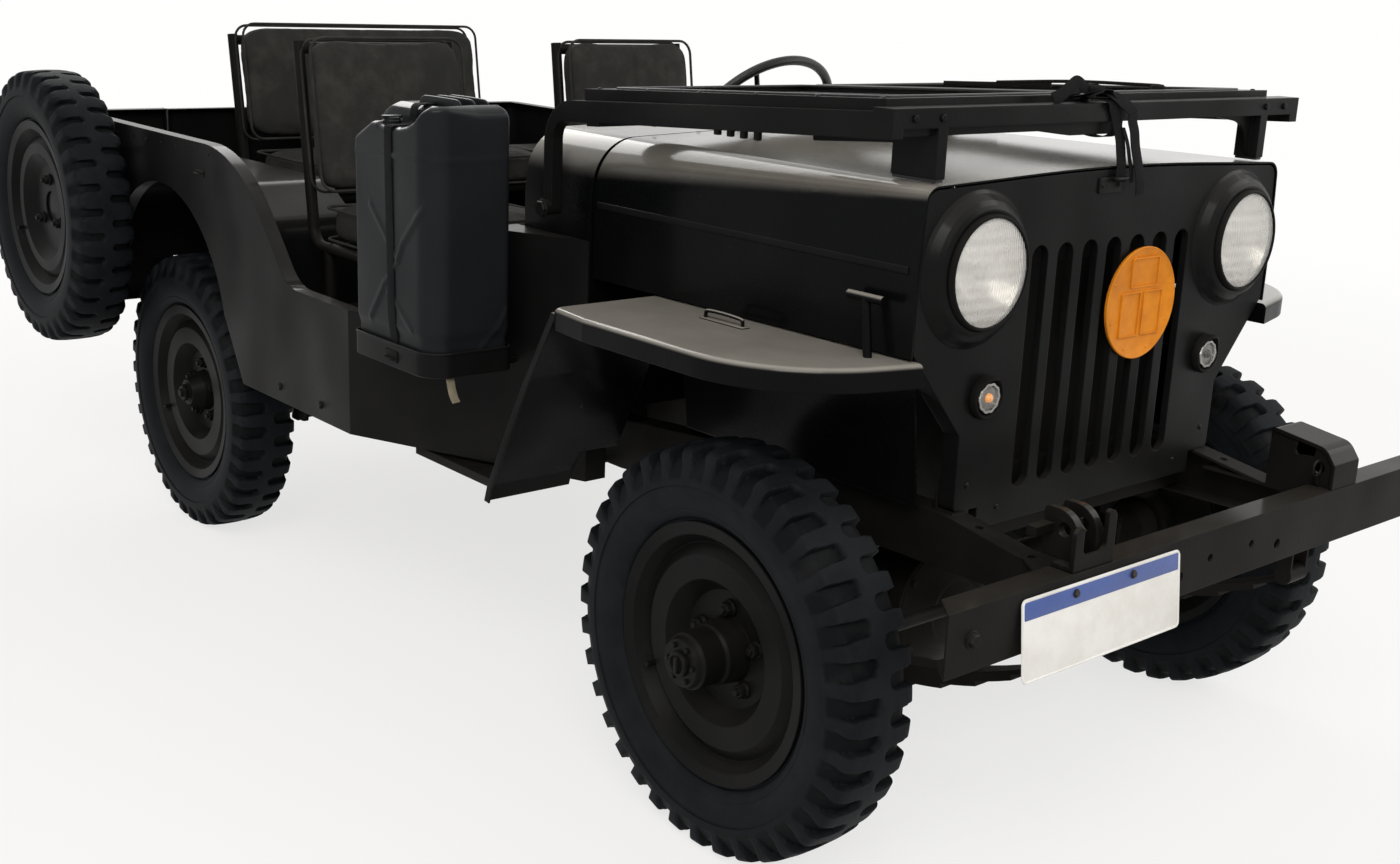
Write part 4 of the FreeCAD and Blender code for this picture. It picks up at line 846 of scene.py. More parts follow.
# ------------------------------------------------------------------ tyres and wheels
@dataclass
class Tyres:
    """The five cross-country tyres: a plain middle band with round-ended gaps cut in from each shoulder.

    Args:
        slot_half: Half the gap's width on the road tyres, which are worn.
        spare_slot_half: The same on the hardly used spare.
        reach: Where the gaps end, measured out from the middle of the tread.
    """

    slot_half: float = 14.0
    spare_slot_half: float = 9.0
    reach: float = 11.0
    pitches: int = 36
    radius: float = 348.0
    crown: tuple[tuple[float, float], ...] = (
        (0, 348), (28, 347.4), (48, 345.6), (58, 343.4), (64, 339.5), (67.5, 334), (70, 324), (72, 314),
        (73.2, 306), (75, 298))
    floor: tuple[tuple[float, float], ...] = (
        (0, 337), (28, 336.2), (44, 334), (54, 330), (60, 325), (64.5, 318), (68, 311), (71, 304.5),
        (73.6, 300), (75, 298))
    side: tuple[tuple[float, float], ...] = (
        (75.6, 290), (75.8, 284), (73.4, 283.2), (73.6, 272), (72, 262), (69, 250), (66.5, 244.6),
        (67.2, 243.4), (66.2, 241), (61, 233), (54, 227.5), (50.2, 226), (49, 214), (47, 207.5), (40, 209))
    crown_steps: int = 30

    def section(self, line: tuple[tuple[float, float], ...]) -> np.ndarray:
        """A half tread line as points spaced evenly along its length.

        Args:
            line: (way out, radius) pairs.

        Returns:
            The spaced points.
        """
        p = np.array(line, float)
        run = run_along(p)
        at = np.linspace(0.0, run[-1], self.crown_steps)
        return np.column_stack([np.interp(at, run, p[:, 0]), np.interp(at, run, p[:, 1])])

    def angles(self, half: float) -> np.ndarray:
        """Angles round the tyre, gathered in pairs at the edges of the gaps of both shoulders.

        Args:
            half: Half the gap's width.

        Returns:
            The angles in order.
        """
        pitch = TAU * self.radius / self.pitches
        near = np.array([0.22 * half, 0.64 * half, half - 0.9, half + 0.9])
        lines = np.sort(np.concatenate([near, -near, pitch / 2 - near, pitch / 2 + near]))
        return ((np.arange(self.pitches)[:, None] * pitch + lines[None, :]) / self.radius).reshape(-1)

    def surface(self, half: float) -> tuple[np.ndarray, np.ndarray]:
        """The casing with its tread, turned about local z.

        A point of the tread lies between the crown line and the floor line of the section. The share of
        the floor is a smooth step of d = w - hypot(a, max(0, reach + w - b)), where w is the gap's half
        width, b the way out from the middle of the tread and a the way round from the gap's middle.

        Args:
            half: Half the gap's width.

        Returns:
            The grid of points and the groove value of each.
        """
        crown, floor = self.section(self.crown), self.section(self.floor)
        out = run_along(crown)
        angle = self.angles(half)
        pitch = TAU * self.radius / self.pitches
        rows, grooves = [], []
        for sign, shift in ((-1.0, 0.5), (1.0, 0.0)):
            around = np.mod(angle * self.radius / pitch + shift + 0.5, 1.0) - 0.5
            a = np.abs(around)[None, :] * pitch
            widened = half * (1.0 + 0.25 * np.clip((out[:, None] - 40.0) / 50.0, 0.0, 1.0))
            d = widened - np.hypot(a, np.maximum(0.0, self.reach + half - out[:, None]))
            share = eased(d / 2.4 + 0.5)
            line = crown[:, None, :] * (1.0 - share[..., None]) + floor[:, None, :] * share[..., None]
            wall = np.broadcast_to(np.array(self.side)[:, None, :], (len(self.side), len(angle), 2))
            line = np.concatenate([line, wall])
            share = np.concatenate([share, np.zeros((len(self.side), len(angle)))])
            line = line * np.array([sign, 1.0])
            rows.append(line[::-1] if sign < 0 else line[1:])
            grooves.append(share[::-1] if sign < 0 else share[1:])
        section = np.concatenate(rows)
        height, radius = section[..., 0], section[..., 1]
        grid = np.stack([radius * np.cos(angle), radius * np.sin(angle), height], axis=-1)
        return grid, np.concatenate(grooves)

    def build(self) -> None:
        """Makes the tyres, each in place of its plain CAD solid."""
        table = (("front_tyre_right", Body.FRONT_RIGHT, self.slot_half),
                 ("front_tyre_left", Body.FRONT_LEFT, self.slot_half),
                 ("rear_tyre_right", Body.REAR_RIGHT, self.slot_half),
                 ("rear_tyre_left", Body.REAR_LEFT, self.slot_half),
                 ("spare_tyre", Body.CHASSIS, self.spare_slot_half))
        for node, body, half in table:
            low, high = node_box(node)
            middle = (low + high) / 2
            shape = Shape()
            grid, groove = self.surface(half)
            shape.grid(grid, facing(tuple(middle), (0, 1, 0)), loop_u=True, groove=groove)
            piece = shape.build(node.replace("tyre", "tread"), TYRE, body, Slot.TYRE, 50.0)
            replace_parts(piece, node)


@dataclass
class WheelFasteners:
    """Wheel nuts, hub caps and valves of the four road wheels and the spare."""

    stud_circle: float = 72.0
    disc: float = 10.0
    spare_disc: float = 19.0
    front_cap: float = 114.0
    rear_cap: float = 60.0

    def wheel(self, node: str) -> tuple[np.ndarray, float]:
        """A wheel's middle and which way it faces, from its node's name."""
        low, high = node_box(node.replace("wheel", "tyre"))
        return (low + high) / 2, -1.0 if "right" in node or "spare" in node else 1.0

    def build(self) -> None:
        """Makes one piece of fasteners for each wheel."""
        for node, body in (("front_wheel_right", Body.FRONT_RIGHT), ("front_wheel_left", Body.FRONT_LEFT),
                           ("rear_wheel_right", Body.REAR_RIGHT), ("rear_wheel_left", Body.REAR_LEFT),
                           ("spare_wheel", Body.CHASSIS)):
            middle, side = self.wheel(node)
            shape = Shape()
            self.nuts(shape, middle, side, 5 if body is not Body.CHASSIS else 3)
            self.valve(shape, middle, side)
            if body in (Body.FRONT_RIGHT, Body.FRONT_LEFT):
                self.drive_flange(shape, middle, side)
            elif body is not Body.CHASSIS:
                self.axle_cap(shape, middle, side)
            shape.build(node + "_fasteners", WHEEL_PAINT, body, Slot.WHEEL)

    def spot(self, middle: np.ndarray, side: float, out: float, radius: float, angle: float) -> Place:
        """A frame on the wheel that looks outboard, at a radius and angle."""
        at = middle + np.array([radius * math.cos(angle), side * out, radius * math.sin(angle)])
        return facing(tuple(at), (0, side, 0), (math.cos(angle), 0, math.sin(angle)))

    def nuts(self, shape: Shape, middle: np.ndarray, side: float, count: int) -> None:
        """Cone-seated nuts with the stud's end showing.

        Args:
            shape: Where they are added.
            middle: The wheel's middle.
            side: Which way it faces.
            count: How many.
        """
        disc = self.spare_disc if count == 3 else self.disc
        for angle in circle(count, math.pi / 2):
            place = self.spot(middle, side, disc, self.stud_circle - (2 if count == 3 else 0), angle)
            shape.grid(revolved([(0, 15), (3, 15), (5, 12.5)], 18), place)
            shape.bolt(place, 22, 16)
            shape.grid(revolved([(15, 6.5), (21, 6.5), (22, 5.5)], 14), place)

    def valve(self, shape: Shape, middle: np.ndarray, side: float) -> None:
        """A rubber valve stem with its cap, leaning outboard.

        Args:
            shape: Where it is added.
            middle: The wheel's middle.
            side: Which way it faces.
        """
        angle = math.radians(205)
        place = self.spot(middle, side, 22, 172, angle)
        shape.grid(revolved([(0, 8), (6, 7), (12, 4.4), (26, 4), (26, 4.8), (35, 4.6), (36, 3.6)], 12), place)

    def drive_flange(self, shape: Shape, middle: np.ndarray, side: float) -> None:
        """Front driving flange: six bolts, a stepped cap and its slotted selector bar.

        Args:
            shape: Where it is added.
            middle: The wheel's middle.
            side: Which way it faces.
        """
        for angle in circle(6):
            shape.bolt(self.spot(middle, side, self.front_cap, 31, angle), 9, 4.5)
        cap = self.spot(middle, side, self.front_cap, 0, 0)
        shape.grid(revolved([(0, 22), (7, 21.5), (9, 19.5), (9, 15.5), (5, 14.5), (5, 0.5)], 24), cap)
        bar = rounded_rectangle(27, 8, 2.5)
        shape.grid(slab(bar, 5, 11.5, 1.0), cap)

    def axle_cap(self, shape: Shape, middle: np.ndarray, side: float) -> None:
        """Rear hub: a castle nut on the axle end.

        Args:
            shape: Where it is added.
            middle: The wheel's middle.
            side: Which way it faces.
        """
        cap = self.spot(middle, side, self.rear_cap, 0, 0)
        shape.bolt(cap, 38, 14, 26)
        shape.grid(revolved([(0, 11), (19, 11), (21, 9)], 18), cap)


# ------------------------------------------------------------------ front panel
@dataclass
class FrontPanel:
    """Lamps, class disc, number plate and fasteners of the front."""

    face_x: float = 230.0
    headlamp_y: float = 355.0
    headlamp_z: float = 993.0
    parking_y: float = 307.0
    parking_z: float = 785.0
    disc_at: Point = (236.0, 84.0, 901.0)
    disc_radius: float = 98.0
    plate_at: Point = (525.0, -348.0, 521.0)
    plate_size: tuple[float, float] = (385.0, 126.0)
    plate_lean: float = 6.5

    def build(self) -> None:
        """Makes every piece of the front."""
        for name, side in (("right", -1.0), ("left", 1.0)):
            self.headlamp(name, side)
            self.parking_lamp(name, side)
        self.class_disc()
        self.number_plate()
        self.fasteners()

    def headlamp(self, name: str, side: float) -> None:
        """A domed ribbed lens over a mirror bowl with its bulb, held by a dark ring.

        Args:
            name: Side in words.
            side: -1 right, 1 left.
        """
        place = facing((self.face_x, side * self.headlamp_y, self.headlamp_z), (1, 0, 0))
        angle = np.linspace(0.02, 1.0, 14)
        dome = [(47 - 17 * a ** 2.2, 89.5 * a) for a in angle]
        inner = [(h - 3.2, r * 0.985) for h, r in dome[::-1]]
        lens = Shape().grid(revolved(dome + inner, 64), place)
        piece = lens.build(f"headlamp_lens_{name}", LAMP_LENS, Body.CHASSIS, Slot.LAMP, 60)
        if side < 0:
            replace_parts(piece, "front_lamps")
        share = np.linspace(1.0, 0.13, 16)
        bowl = [(-42 + 64 * s * s, 88 * s) for s in share]
        back = [(h - 3, r + 1.0) for h, r in bowl[::-1]]
        Shape().grid(revolved(bowl + back, 64), place, loop_u=True).build(
            f"headlamp_bowl_{name}", MIRROR, Body.CHASSIS, Slot.LAMP, 60)
        bulb = Shape().grid(revolved([(-40, 11), (-12, 11), (-4, 9), (4, 5), (6, 0.5)], 20), place)
        bulb.grid(revolved([(8, 15), (14, 14), (17, 9), (18, 0.5)], 20), place)
        bulb.build(f"headlamp_bulb_{name}", CHROME, Body.CHASSIS, Slot.LAMP)
        ring = Shape().grid(revolved([(25, 91.6), (31, 91), (35, 88.5), (35.5, 85.5), (32, 84.5), (26, 87)],
                                     72),
                            place, loop_u=True)
        ring.build(f"headlamp_ring_{name}", CHASSIS_PAINT, Body.CHASSIS, Slot.ARMY)

    def parking_lamp(self, name: str, side: float) -> None:
        """A small lens and bulb, amber on the right, in a faceted ring with a black hooded rim.

        Args:
            name: Side in words.
            side: -1 right, 1 left.
        """
        place = facing((self.face_x, side * self.parking_y, self.parking_z), (1, 0, 0))
        rim = revolved([(0.3, 36), (6, 36.5), (13, 34), (14, 31), (9, 28.5), (0.3, 28)], 48)
        brow = np.clip((rim[..., 1] - 12) / 26, 0, 1) ** 1.5
        rim[..., 2] += np.where(rim[..., 2] > 5, brow * 13, 0)
        Shape().grid(rim, place, loop_u=True).build(f"parking_rim_{name}", CHASSIS_PAINT, Body.CHASSIS,
                                                    Slot.ARMY)
        bright = revolved([(0.5, 28), (8, 27.5), (13, 24.5), (13, 20.5), (6, 20), (0.5, 20)], 40)
        notch = 1 + 0.035 * np.cos(10 * circle(40))[None, :]
        bright[..., :2] *= notch[..., None]
        Shape().grid(bright, place, loop_u=True).build(f"parking_ring_{name}", CHROME, Body.CHASSIS,
                                                       Slot.LAMP)
        cup = [(0.6 + 9 * s * s, 20.0 * s) for s in (1.0, 0.8, 0.6, 0.4, 0.2, 0.02)]
        Shape().grid(revolved(cup, 32), place).build(f"parking_cup_{name}", DULL_MIRROR, Body.CHASSIS,
                                                     Slot.LAMP)
        bulb = Shape().grid(revolved([(0.8, 7), (8, 8.5), (13, 7.5), (16.5, 4), (17.5, 0.4)], 20), place)
        bulb.build(f"parking_bulb_{name}", AMBER if side < 0 else IRON, Body.CHASSIS, Slot.LAMP)
        dome = [(9 + 17 * math.sqrt(max(0.0, 1 - s * s)), 19.6 * s)
                for s in (1.0, 0.96, 0.86, 0.7, 0.45, 0.02)]
        Shape().grid(revolved(dome, 36), place).build(f"parking_lens_{name}", SMALL_LENS, Body.CHASSIS,
                                                      Slot.LAMP, 60)

    def class_disc(self) -> None:
        """Blank orange disc with three empty card frames and rivets, hung on the grille bars by two hooks."""
        place = facing(self.disc_at, (1, 0, 0))
        r = self.disc_radius
        disc = Shape().grid(revolved([(-3, r - 1), (0, r), (2.4, r), (3.2, r - 1.6), (1.6, r - 4),
                                      (1.6, 0.4)], 72), place)
        for x, y, w, h in ((2, 54, 78, 52), (-31, -18, 54, 78), (31, -18, 54, 78)):
            outer, inner = rounded_rectangle(w, h, 3), rounded_rectangle(w - 5, h - 5, 2)
            rings = [(outer, 1.4), (outer, 4.2), (inner, 4.2), (inner, 1.4)]
            frame_grid = np.stack([np.column_stack([o + np.array([x, y]), np.full(len(o), z)])
                                   for o, z in rings])
            disc.grid(frame_grid, place, loop_u=True)
        for turn in range(20, 380, 45):
            a = math.radians(turn)
            at = place.of(np.array([0.88 * r * math.cos(a), 0.88 * r * math.sin(a), 1.4]))
            disc.rivet(facing(tuple(at), (1, 0, 0)), 3.0, 1.4)
        disc.build("class_disc", DISC_PAINT, Body.CHASSIS, Slot.ARMY)
        hooks = Shape()
        for y in (-60, 60):
            at = place.of(np.array([y * 0.55, 0.0, -3.0]))
            hooks.grid(slab(rounded_rectangle(16, 120, 3), -6, 0, 0.6), facing(tuple(at), (1, 0, 0)))
        hooks.build("class_disc_hooks", CHASSIS_PAINT, Body.CHASSIS, Slot.ARMY)

    def number_plate(self) -> None:
        """Blank white plate with a plain blue band along its top and a pressed rim."""
        lean = math.radians(self.plate_lean)
        place = facing(self.plate_at, (math.cos(lean), 0, math.sin(lean)))
        w, h = self.plate_size
        base = Shape().grid(slab(rounded_rectangle(w, h, 9), 0.3, 2.2, 0.4), place)
        outer, inner = rounded_rectangle(w, h, 9), rounded_rectangle(w - 9, h - 9, 5)
        lip = [(outer, 2.0), (inset(outer, 1.4), 3.6), (inset(inner, -1.4), 3.6), (inner, 2.0)]
        base.grid(np.stack([np.column_stack([o, np.full(len(o), z)]) for o, z in lip]), place, loop_u=True)
        base.build("number_plate", ENAMEL_WHITE, Body.CHASSIS, Slot.ARMY)
        band = rounded_rectangle(w - 10, 27, 2) + np.array([0.0, h / 2 - 5 - 13.5])
        Shape().grid(slab(band, 2.0, 2.7, 0.2), place).build("number_plate_band", ENAMEL_BLUE, Body.CHASSIS,
                                                             Slot.ARMY)
        screws = Shape()
        for x, y in ((-70, 48), (70, 48)):
            at = place.of(np.array([x, y, 2.6]))
            screws.bolt(facing(tuple(at), place.z), 10, 4, 7)
        screws.build("number_plate_screws", IRON, Body.CHASSIS, Slot.ARMY)

    def fasteners(self) -> None:
        """Grille screws, the hood catch's staple, bumper bolts and the tow ring by the left bracket."""
        shape = Shape()
        for y, z in ((-330, 640), (330, 640), (-430, 900), (430, 900), (-250, 590), (250, 590)):
            shape.rivet(facing((self.face_x, y, z), (1, 0, 0)), 5, 2.6)
        staple = facing((self.face_x, -32, 1108), (1, 0, 0))
        shape.grid(slab(rounded_rectangle(62, 26, 3), 0, 3.5, 0.8), staple)
        for y, z in ((-54, 1108), (-10, 1108)):
            shape.rivet(facing((self.face_x + 3.5, y, z), (1, 0, 0)), 4, 2.2)
        shape.tube([(232, -34, 1119), (241, -33, 1119), (244, -28, 1119), (244, -4, 1119), (241, 1, 1119),
                    (232, 2, 1119)],
                   2.8, 24, (0, 0, 1))
        shape.build("grille_fasteners", BODY_PAINT, Body.CHASSIS, Slot.ARMY)
        bumper = Shape()
        for side in (-1, 1):
            bumper.bolt(facing((517, side * 640, 548), (1, 0, 0)), 19, 9, 14)
        ring = circle(28)
        eye = np.stack([np.full(28, 487.0), 299 + 14 * np.cos(ring), 630 + 14 * np.sin(ring)], axis=-1)
        bumper.grid(carried(round_section(2.6, 10), np.concatenate([eye, eye[:1]]), (1, 0, 0))[:-1],
                    loop_u=True)
        bumper.tube([(487, 299, 618), (487, 302, 608), (487, 306, 598)], 3.4, 10, (1, 0, 0))
        bumper.build("bumper_fasteners", BUMPER_PAINT, Body.CHASSIS, Slot.ARMY)


# ------------------------------------------------------------------ windscreen
def ribbon(width: float, thick: float = 1.8, quarter: bool = False) -> np.ndarray:
    """The section of a flat strap, its width across the side vector, or across the upper one if turned."""
    section = rounded_rectangle(width, thick, thick * 0.45, 2)
    return section[:, ::-1] * np.array([1.0, -1.0]) if quarter else section


@dataclass
class ScreenStrap:
    """Black webbing that ties the folded windscreen down to the hood staple, knotted over the front bar."""

    width: float = 25.0

    def build(self) -> None:
        """Makes the loop, the loose tail, the knot's turns and the folded end as one piece."""
        shape = Shape()
        loop = [(241, -16, 1113), (238, -16, 1122), (237, -15, 1141), (234, -15, 1158), (228, -13, 1181),
                (221, -15, 1203), (219.5, -23, 1226), (219, -35, 1241), (208, -44, 1246), (190, -50, 1246),
                (176, -50, 1244), (171, -46, 1234), (171, -40, 1206), (176, -34, 1189), (194, -28, 1184),
                (212, -22, 1187), (218, -18, 1196), (218, -17, 1206)]
        self.strap(shape, loop, 90, (0, 1, 0), quarter=True)
        tail = [(196, -44, 1256), (208, -34, 1255), (218, -20, 1248), (224, 0, 1237), (229, 14, 1224),
                (230, 13, 1211), (234, 16, 1194), (239, 16, 1170), (246, 19, 1141), (250, 24, 1116),
                (251, 26, 1092)]
        self.strap(shape, tail, 60, (0, 1, 0), quarter=True)
        hook = [(224, -2, 1200), (236, -3, 1176), (240, 2, 1150), (243, 6, 1132), (243, 10, 1112)]
        self.strap(shape, hook, 24, (0, 1, 0), 9.0, quarter=True)
        for turns in (
                [(190, -20, 1248), (206, -34, 1258), (212, -52, 1262), (204, -68, 1258), (190, -76, 1250),
                 (182, -62, 1247)],
                [(184, -30, 1251), (194, -46, 1264), (206, -60, 1267), (214, -72, 1258), (208, -84, 1249)],
                [(210, -16, 1248), (200, -32, 1263), (188, -52, 1269), (180, -70, 1262), (178, -84, 1252)]):
            self.strap(shape, turns, 30, (0, 0, 1))
        fold = [(203, -62, 1252), (199, -80, 1263), (196, -99, 1273), (197, -120, 1264), (199, -142, 1253),
                (200, -164, 1247)]
        self.strap(shape, fold, 36, (1, 0, 0.25), 21.0)
        shape.build("windscreen_strap", WEBBING, Body.SCREEN, Slot.ARMY, 60)

    def strap(self, shape: Shape, points: Sequence[Point], count: int, up: Point, width: float = 0.0,
              quarter: bool = False) -> None:
        """Adds one run of webbing.

        Args:
            shape: Where it is added.
            points: The way it goes.
            count: Sections along it.
            up: Direction that its edge or face is laid out from.
            width: Its width, the strap's own where 0.
            quarter: Whether the section is turned by a quarter, so that its width lies along up.
        """
        shape.grid(carried(ribbon(width or self.width, quarter=quarter), smooth_path(points, count), up))


@dataclass
class ScreenDetails:
    """Rubber round the panes, the inner frame's corner bolts, wiper and the clips under the right arm."""

    slope: float = 3.1
    pivot_x: float = 196.0
    frame_z: float = 1222.0
    half: float = 548.0

    def tipped(self, x: float, y: float, z: float) -> Point:
        """A point laid out level about the front bar, as it lies at the screen's slope.

        Args:
            x: Along the vehicle.
            y: Across it.
            z: Up.

        Returns:
            The point in place.
        """
        a = math.radians(self.slope)
        dx, dz = x - self.pivot_x, z - self.frame_z
        return (self.pivot_x + dx * math.cos(a) - dz * math.sin(a), y,
                self.frame_z + dx * math.sin(a) + dz * math.cos(a))

    def build(self) -> None:
        """Makes the seals and the fasteners."""
        seals = Shape()
        for low, high in ((-480, -18), (18, 480)):
            middle_x, middle_y = (-524 + 130) / 2, (low + high) / 2
            ring = rounded_rectangle(654, high - low, 14, 4)
            path = np.array([self.tipped(middle_x + p[0], middle_y + p[1], self.frame_z + 31) for p in ring])
            path = np.concatenate([path, path[:1]])
            section = rounded_rectangle(13, 5, 2, 2)
            tilt = self.tipped(self.pivot_x, 0, self.frame_z + 1)
            up = (tilt[0] - self.pivot_x, 0.0, tilt[2] - self.frame_z)
            surface = carried(section, path, up)[:-1]
            seals.grid(surface, loop_u=True)
        seals.build("windscreen_seals", PLASTIC, Body.SCREEN, Slot.PLASTIC)
        screws = Shape()
        for x in (-550, -410, -270, -130, 10, 150):
            for y in (-498, 498):
                at = self.tipped(x, y, self.frame_z + 30)
                screws.rivet(facing(at, (-math.sin(math.radians(self.slope)), 0, 1), (1, 0, 0)), 5, 2.4)
        for side in (-1, 1):
            pivot = facing((-639, side * (self.half + 10), 989), (0, side, 0))
            screws.bolt(pivot, 26, 9, 17)
            for x in (-60, 60):
                screws.bolt(facing((self.pivot_x + 20, side * (470 + x * 0.5), 1225), (1, 0, 0)), 11, 4)
        for x in (-179, -147, -115, -82):
            foot = facing((x, -536, 1184), (0, 0, -1), (1, 0, 0))
            screws.grid(slab(rounded_rectangle(9, 12, 2), -4, 18, 1.5), foot)
        screws.build("windscreen_fasteners", BODY_PAINT, Body.SCREEN, Slot.ARMY)
        feet = Shape()
        for x, y, long in ((171, -437, 88), (193, 437, 44)):
            feet.grid(slab(rounded_rectangle(long, 20, 3), -1, 4.6, 0.8),
                      facing((x, y, 1134), (0, 0, -1), (0, 1, 0)))
        feet.build("windscreen_rest_feet", PLASTIC, Body.SCREEN, Slot.PLASTIC)
        wiper = Shape()
        start, end = self.tipped(110, 250, self.frame_z + 40), self.tipped(-190, 170, self.frame_z + 42)
        wiper.tube([start, tuple((np.array(start) + np.array(end)) / 2 + np.array([0, 0, 4])), end], 3.2, 20)
        along = (np.array(end) - np.array(start)) / np.linalg.norm(np.array(end) - np.array(start))
        blade = [tuple(np.array(end) + along * d + np.array([0, 0, -4])) for d in (-110, -40, 40, 110)]
        wiper.grid(carried(rounded_rectangle(5, 9, 1.5, 2), smooth_path(blade, 24)))
        hub = facing(self.tipped(112, 250, self.frame_z + 30), (0, 0, 1), (1, 0, 0))
        wiper.grid(revolved([(0, 14), (9, 13), (12, 9), (13, 0.5)], 24), hub)
        wiper.build("windscreen_wiper", CHASSIS_PAINT, Body.SCREEN, Slot.ARMY)


# ------------------------------------------------------------------ fuel can
@dataclass
class FuelCan:
    """The moulded can with its pressed lines, grips and cap, its strap, and the tray's bracket and strap end.

    Args:
        corners: Radii of its upright corners: rear outboard, front outboard, front inboard, rear inboard.
        split: The y at which its top steps down to the outboard half.
        rim: (x, height) along the outboard half's top: rear slope, lip, notch and front slope.
        lines: Pressed lines of the outboard face as (x, z) ends, half width and height.
        front_lines: The same on the front face, as (y, z) ends.
    """

    corners: tuple[float, float, float, float] = (15.0, 46.0, 16.0, 15.0)
    split: float = -745.0
    rim: tuple[tuple[float, float], ...] = (
        (-911, 1102), (-842, 1137), (-822, 1138.5), (-812, 1134), (-795, 1131.5), (-745, 1133), (-715, 1139),
        (-690, 1150), (-668, 1168), (-654, 1175), (-636, 1177))
    lines: tuple[tuple[float, float, float, float, float, float], ...] = (
        (-920, 1074, -640, 1089, 7, 1.6), (-655, 1003, -729, 928, 11, 4), (-729, 928, -749, 893, 11, 4),
        (-796, 843, -850, 772, 11, 4), (-749, 893, -796, 843, 9, 2.5), (-749, 893, -846, 985, 9, 2),
        (-796, 843, -700, 770, 9, 2))
    front_lines: tuple[tuple[float, float, float, float, float, float], ...] = (
        (-692, 735, -653, 778, 9, 2.5), (-653, 778, -628, 825, 9, 2.5))

    def build(self) -> None:
        """Makes the can in place of its CAD node, then what is on it."""
        low, high = node_box("fuel_can")
        self.shell(low, high)
        self.top(low, high)
        self.strap(low, high)
        self.tray(low, high)

    def height(self, x: np.ndarray, y: np.ndarray, low: np.ndarray, high: np.ndarray) -> np.ndarray:
        """Height of the top at a place: the outboard rim line, or inboard a slope up from the split.

        Args:
            x: Places along the can.
            y: Places across it.
            low: The can's low corner.
            high: Its high corner.

        Returns:
            The heights.
        """
        table = np.array(self.rim)
        outer = np.interp(x, table[:, 0], table[:, 1])
        inner = high[2] - 22 + 11 * np.clip((y - self.split) / 22, 0, 1) ** 0.7
        inner -= (26 * np.clip((low[0] + 46 - x) / 46, 0, 1) ** 1.6
                  + 9 * np.clip((x - high[0] + 60) / 60, 0, 1) ** 2)
        share = eased((y - self.split + 3) / 6)
        front = np.clip((x + 700) / 45, 0, 1)
        inner = inner + (outer - inner) * front * np.clip((self.split + 60 - y) / 60, 0, 1)
        return outer * (1 - share) + np.maximum(outer, inner) * share

    def shell(self, low: np.ndarray, high: np.ndarray) -> None:
        """One closed skin: the wall's rings upwards, then the top's rings inwards.

        A wall point is an outline point at a share of the top's height there, pushed in by a quarter
        circle at both ends and out by h (1 - smooth step(distance to a pressed line / half width)).

        Args:
            low: The can's low corner.
            high: Its high corner.
        """
        middle = (low + high) / 2
        outline = cornered(low[:2], high[:2], self.corners)
        closed = np.concatenate([outline, outline[:1]])
        run = run_along(closed)
        at = np.linspace(0, run[-1], 320, endpoint=False)
        outline = np.column_stack([np.interp(at, run, closed[:, i]) for i in (0, 1)])
        ahead = np.roll(outline, -1, axis=0) - np.roll(outline, 1, axis=0)
        normal = np.stack([ahead[:, 1], -ahead[:, 0]], axis=-1) / np.linalg.norm(ahead, axis=1, keepdims=True)
        tops = self.height(outline[:, 0], outline[:, 1], low, high)
        rings = []
        ahead_share = np.clip((outline[:, 0] + 700) / 40, 0, 1)
        ease = 11.0 + 15.0 * ahead_share * np.clip((outline[:, 1] + 760) / 60, 0, 1)
        shares = (np.linspace(0, 0.03, 5)[:-1], np.linspace(0.03, 0.965, 90), np.linspace(0.965, 1.0, 7)[1:])
        for share in np.concatenate(shares):
            z = low[2] + (tops - low[2]) * share
            foot = np.clip(1 - (z - low[2]) / 14, 0, 1)
            head = np.clip(1 - (tops - z) / ease, 0, 1)
            pull = 14 * (1 - np.sqrt(1 - foot ** 2)) + ease * (1 - np.sqrt(1 - (head * 0.999) ** 2))
            pull = pull + 5.0 * np.clip((770 - z) / 18, 0, 1)
            out = self.pressed(outline[:, 0], z, self.lines) * (normal[:, 1] < -0.9) + self.belt(z)
            out = out + self.pressed(outline[:, 1], z, self.front_lines) * (normal[:, 0] > 0.9)
            flat = outline + normal * (out - pull)[:, None]
            rings.append(np.column_stack([flat, z]))
        rim = rings[-1][:, :2]
        for share in np.linspace(0.985, 0.0, 46):
            flat = middle[:2] + (rim - middle[:2]) * max(share, 0.004)
            z = self.height(flat[:, 0], flat[:, 1], low, high)
            rings.append(np.column_stack([flat, z]))
        piece = Shape().grid(np.stack(rings)).build("fuel_can_shell", CAN_PAINT, Body.CHASSIS, Slot.CAN, 50.0)
        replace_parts(piece, "fuel_can")

    def pressed(self, x: np.ndarray, z: np.ndarray, lines: Sequence[Sequence[float]]) -> np.ndarray:
        """How far the pressed lines stand out at places of a face.

        Args:
            x: Places along the face.
            z: Their heights.
            lines: The ends, half width and height of each line.

        Returns:
            The heights over the face.
        """
        out = np.zeros_like(x)
        for x0, z0, x1, z1, half, proud in lines:
            ax, az = x1 - x0, z1 - z0
            t = np.clip(((x - x0) * ax + (z - z0) * az) / (ax * ax + az * az), 0, 1)
            near = eased(1 - np.hypot(x - x0 - t * ax, z - z0 - t * az) / half)
            out = np.maximum(out, proud * near)
        return out

    def belt(self, z: np.ndarray) -> np.ndarray:
        """A shallow ring all round the can, under its shoulder."""
        return 1.2 * np.exp(-((z - 1082) / 5.0) ** 2)

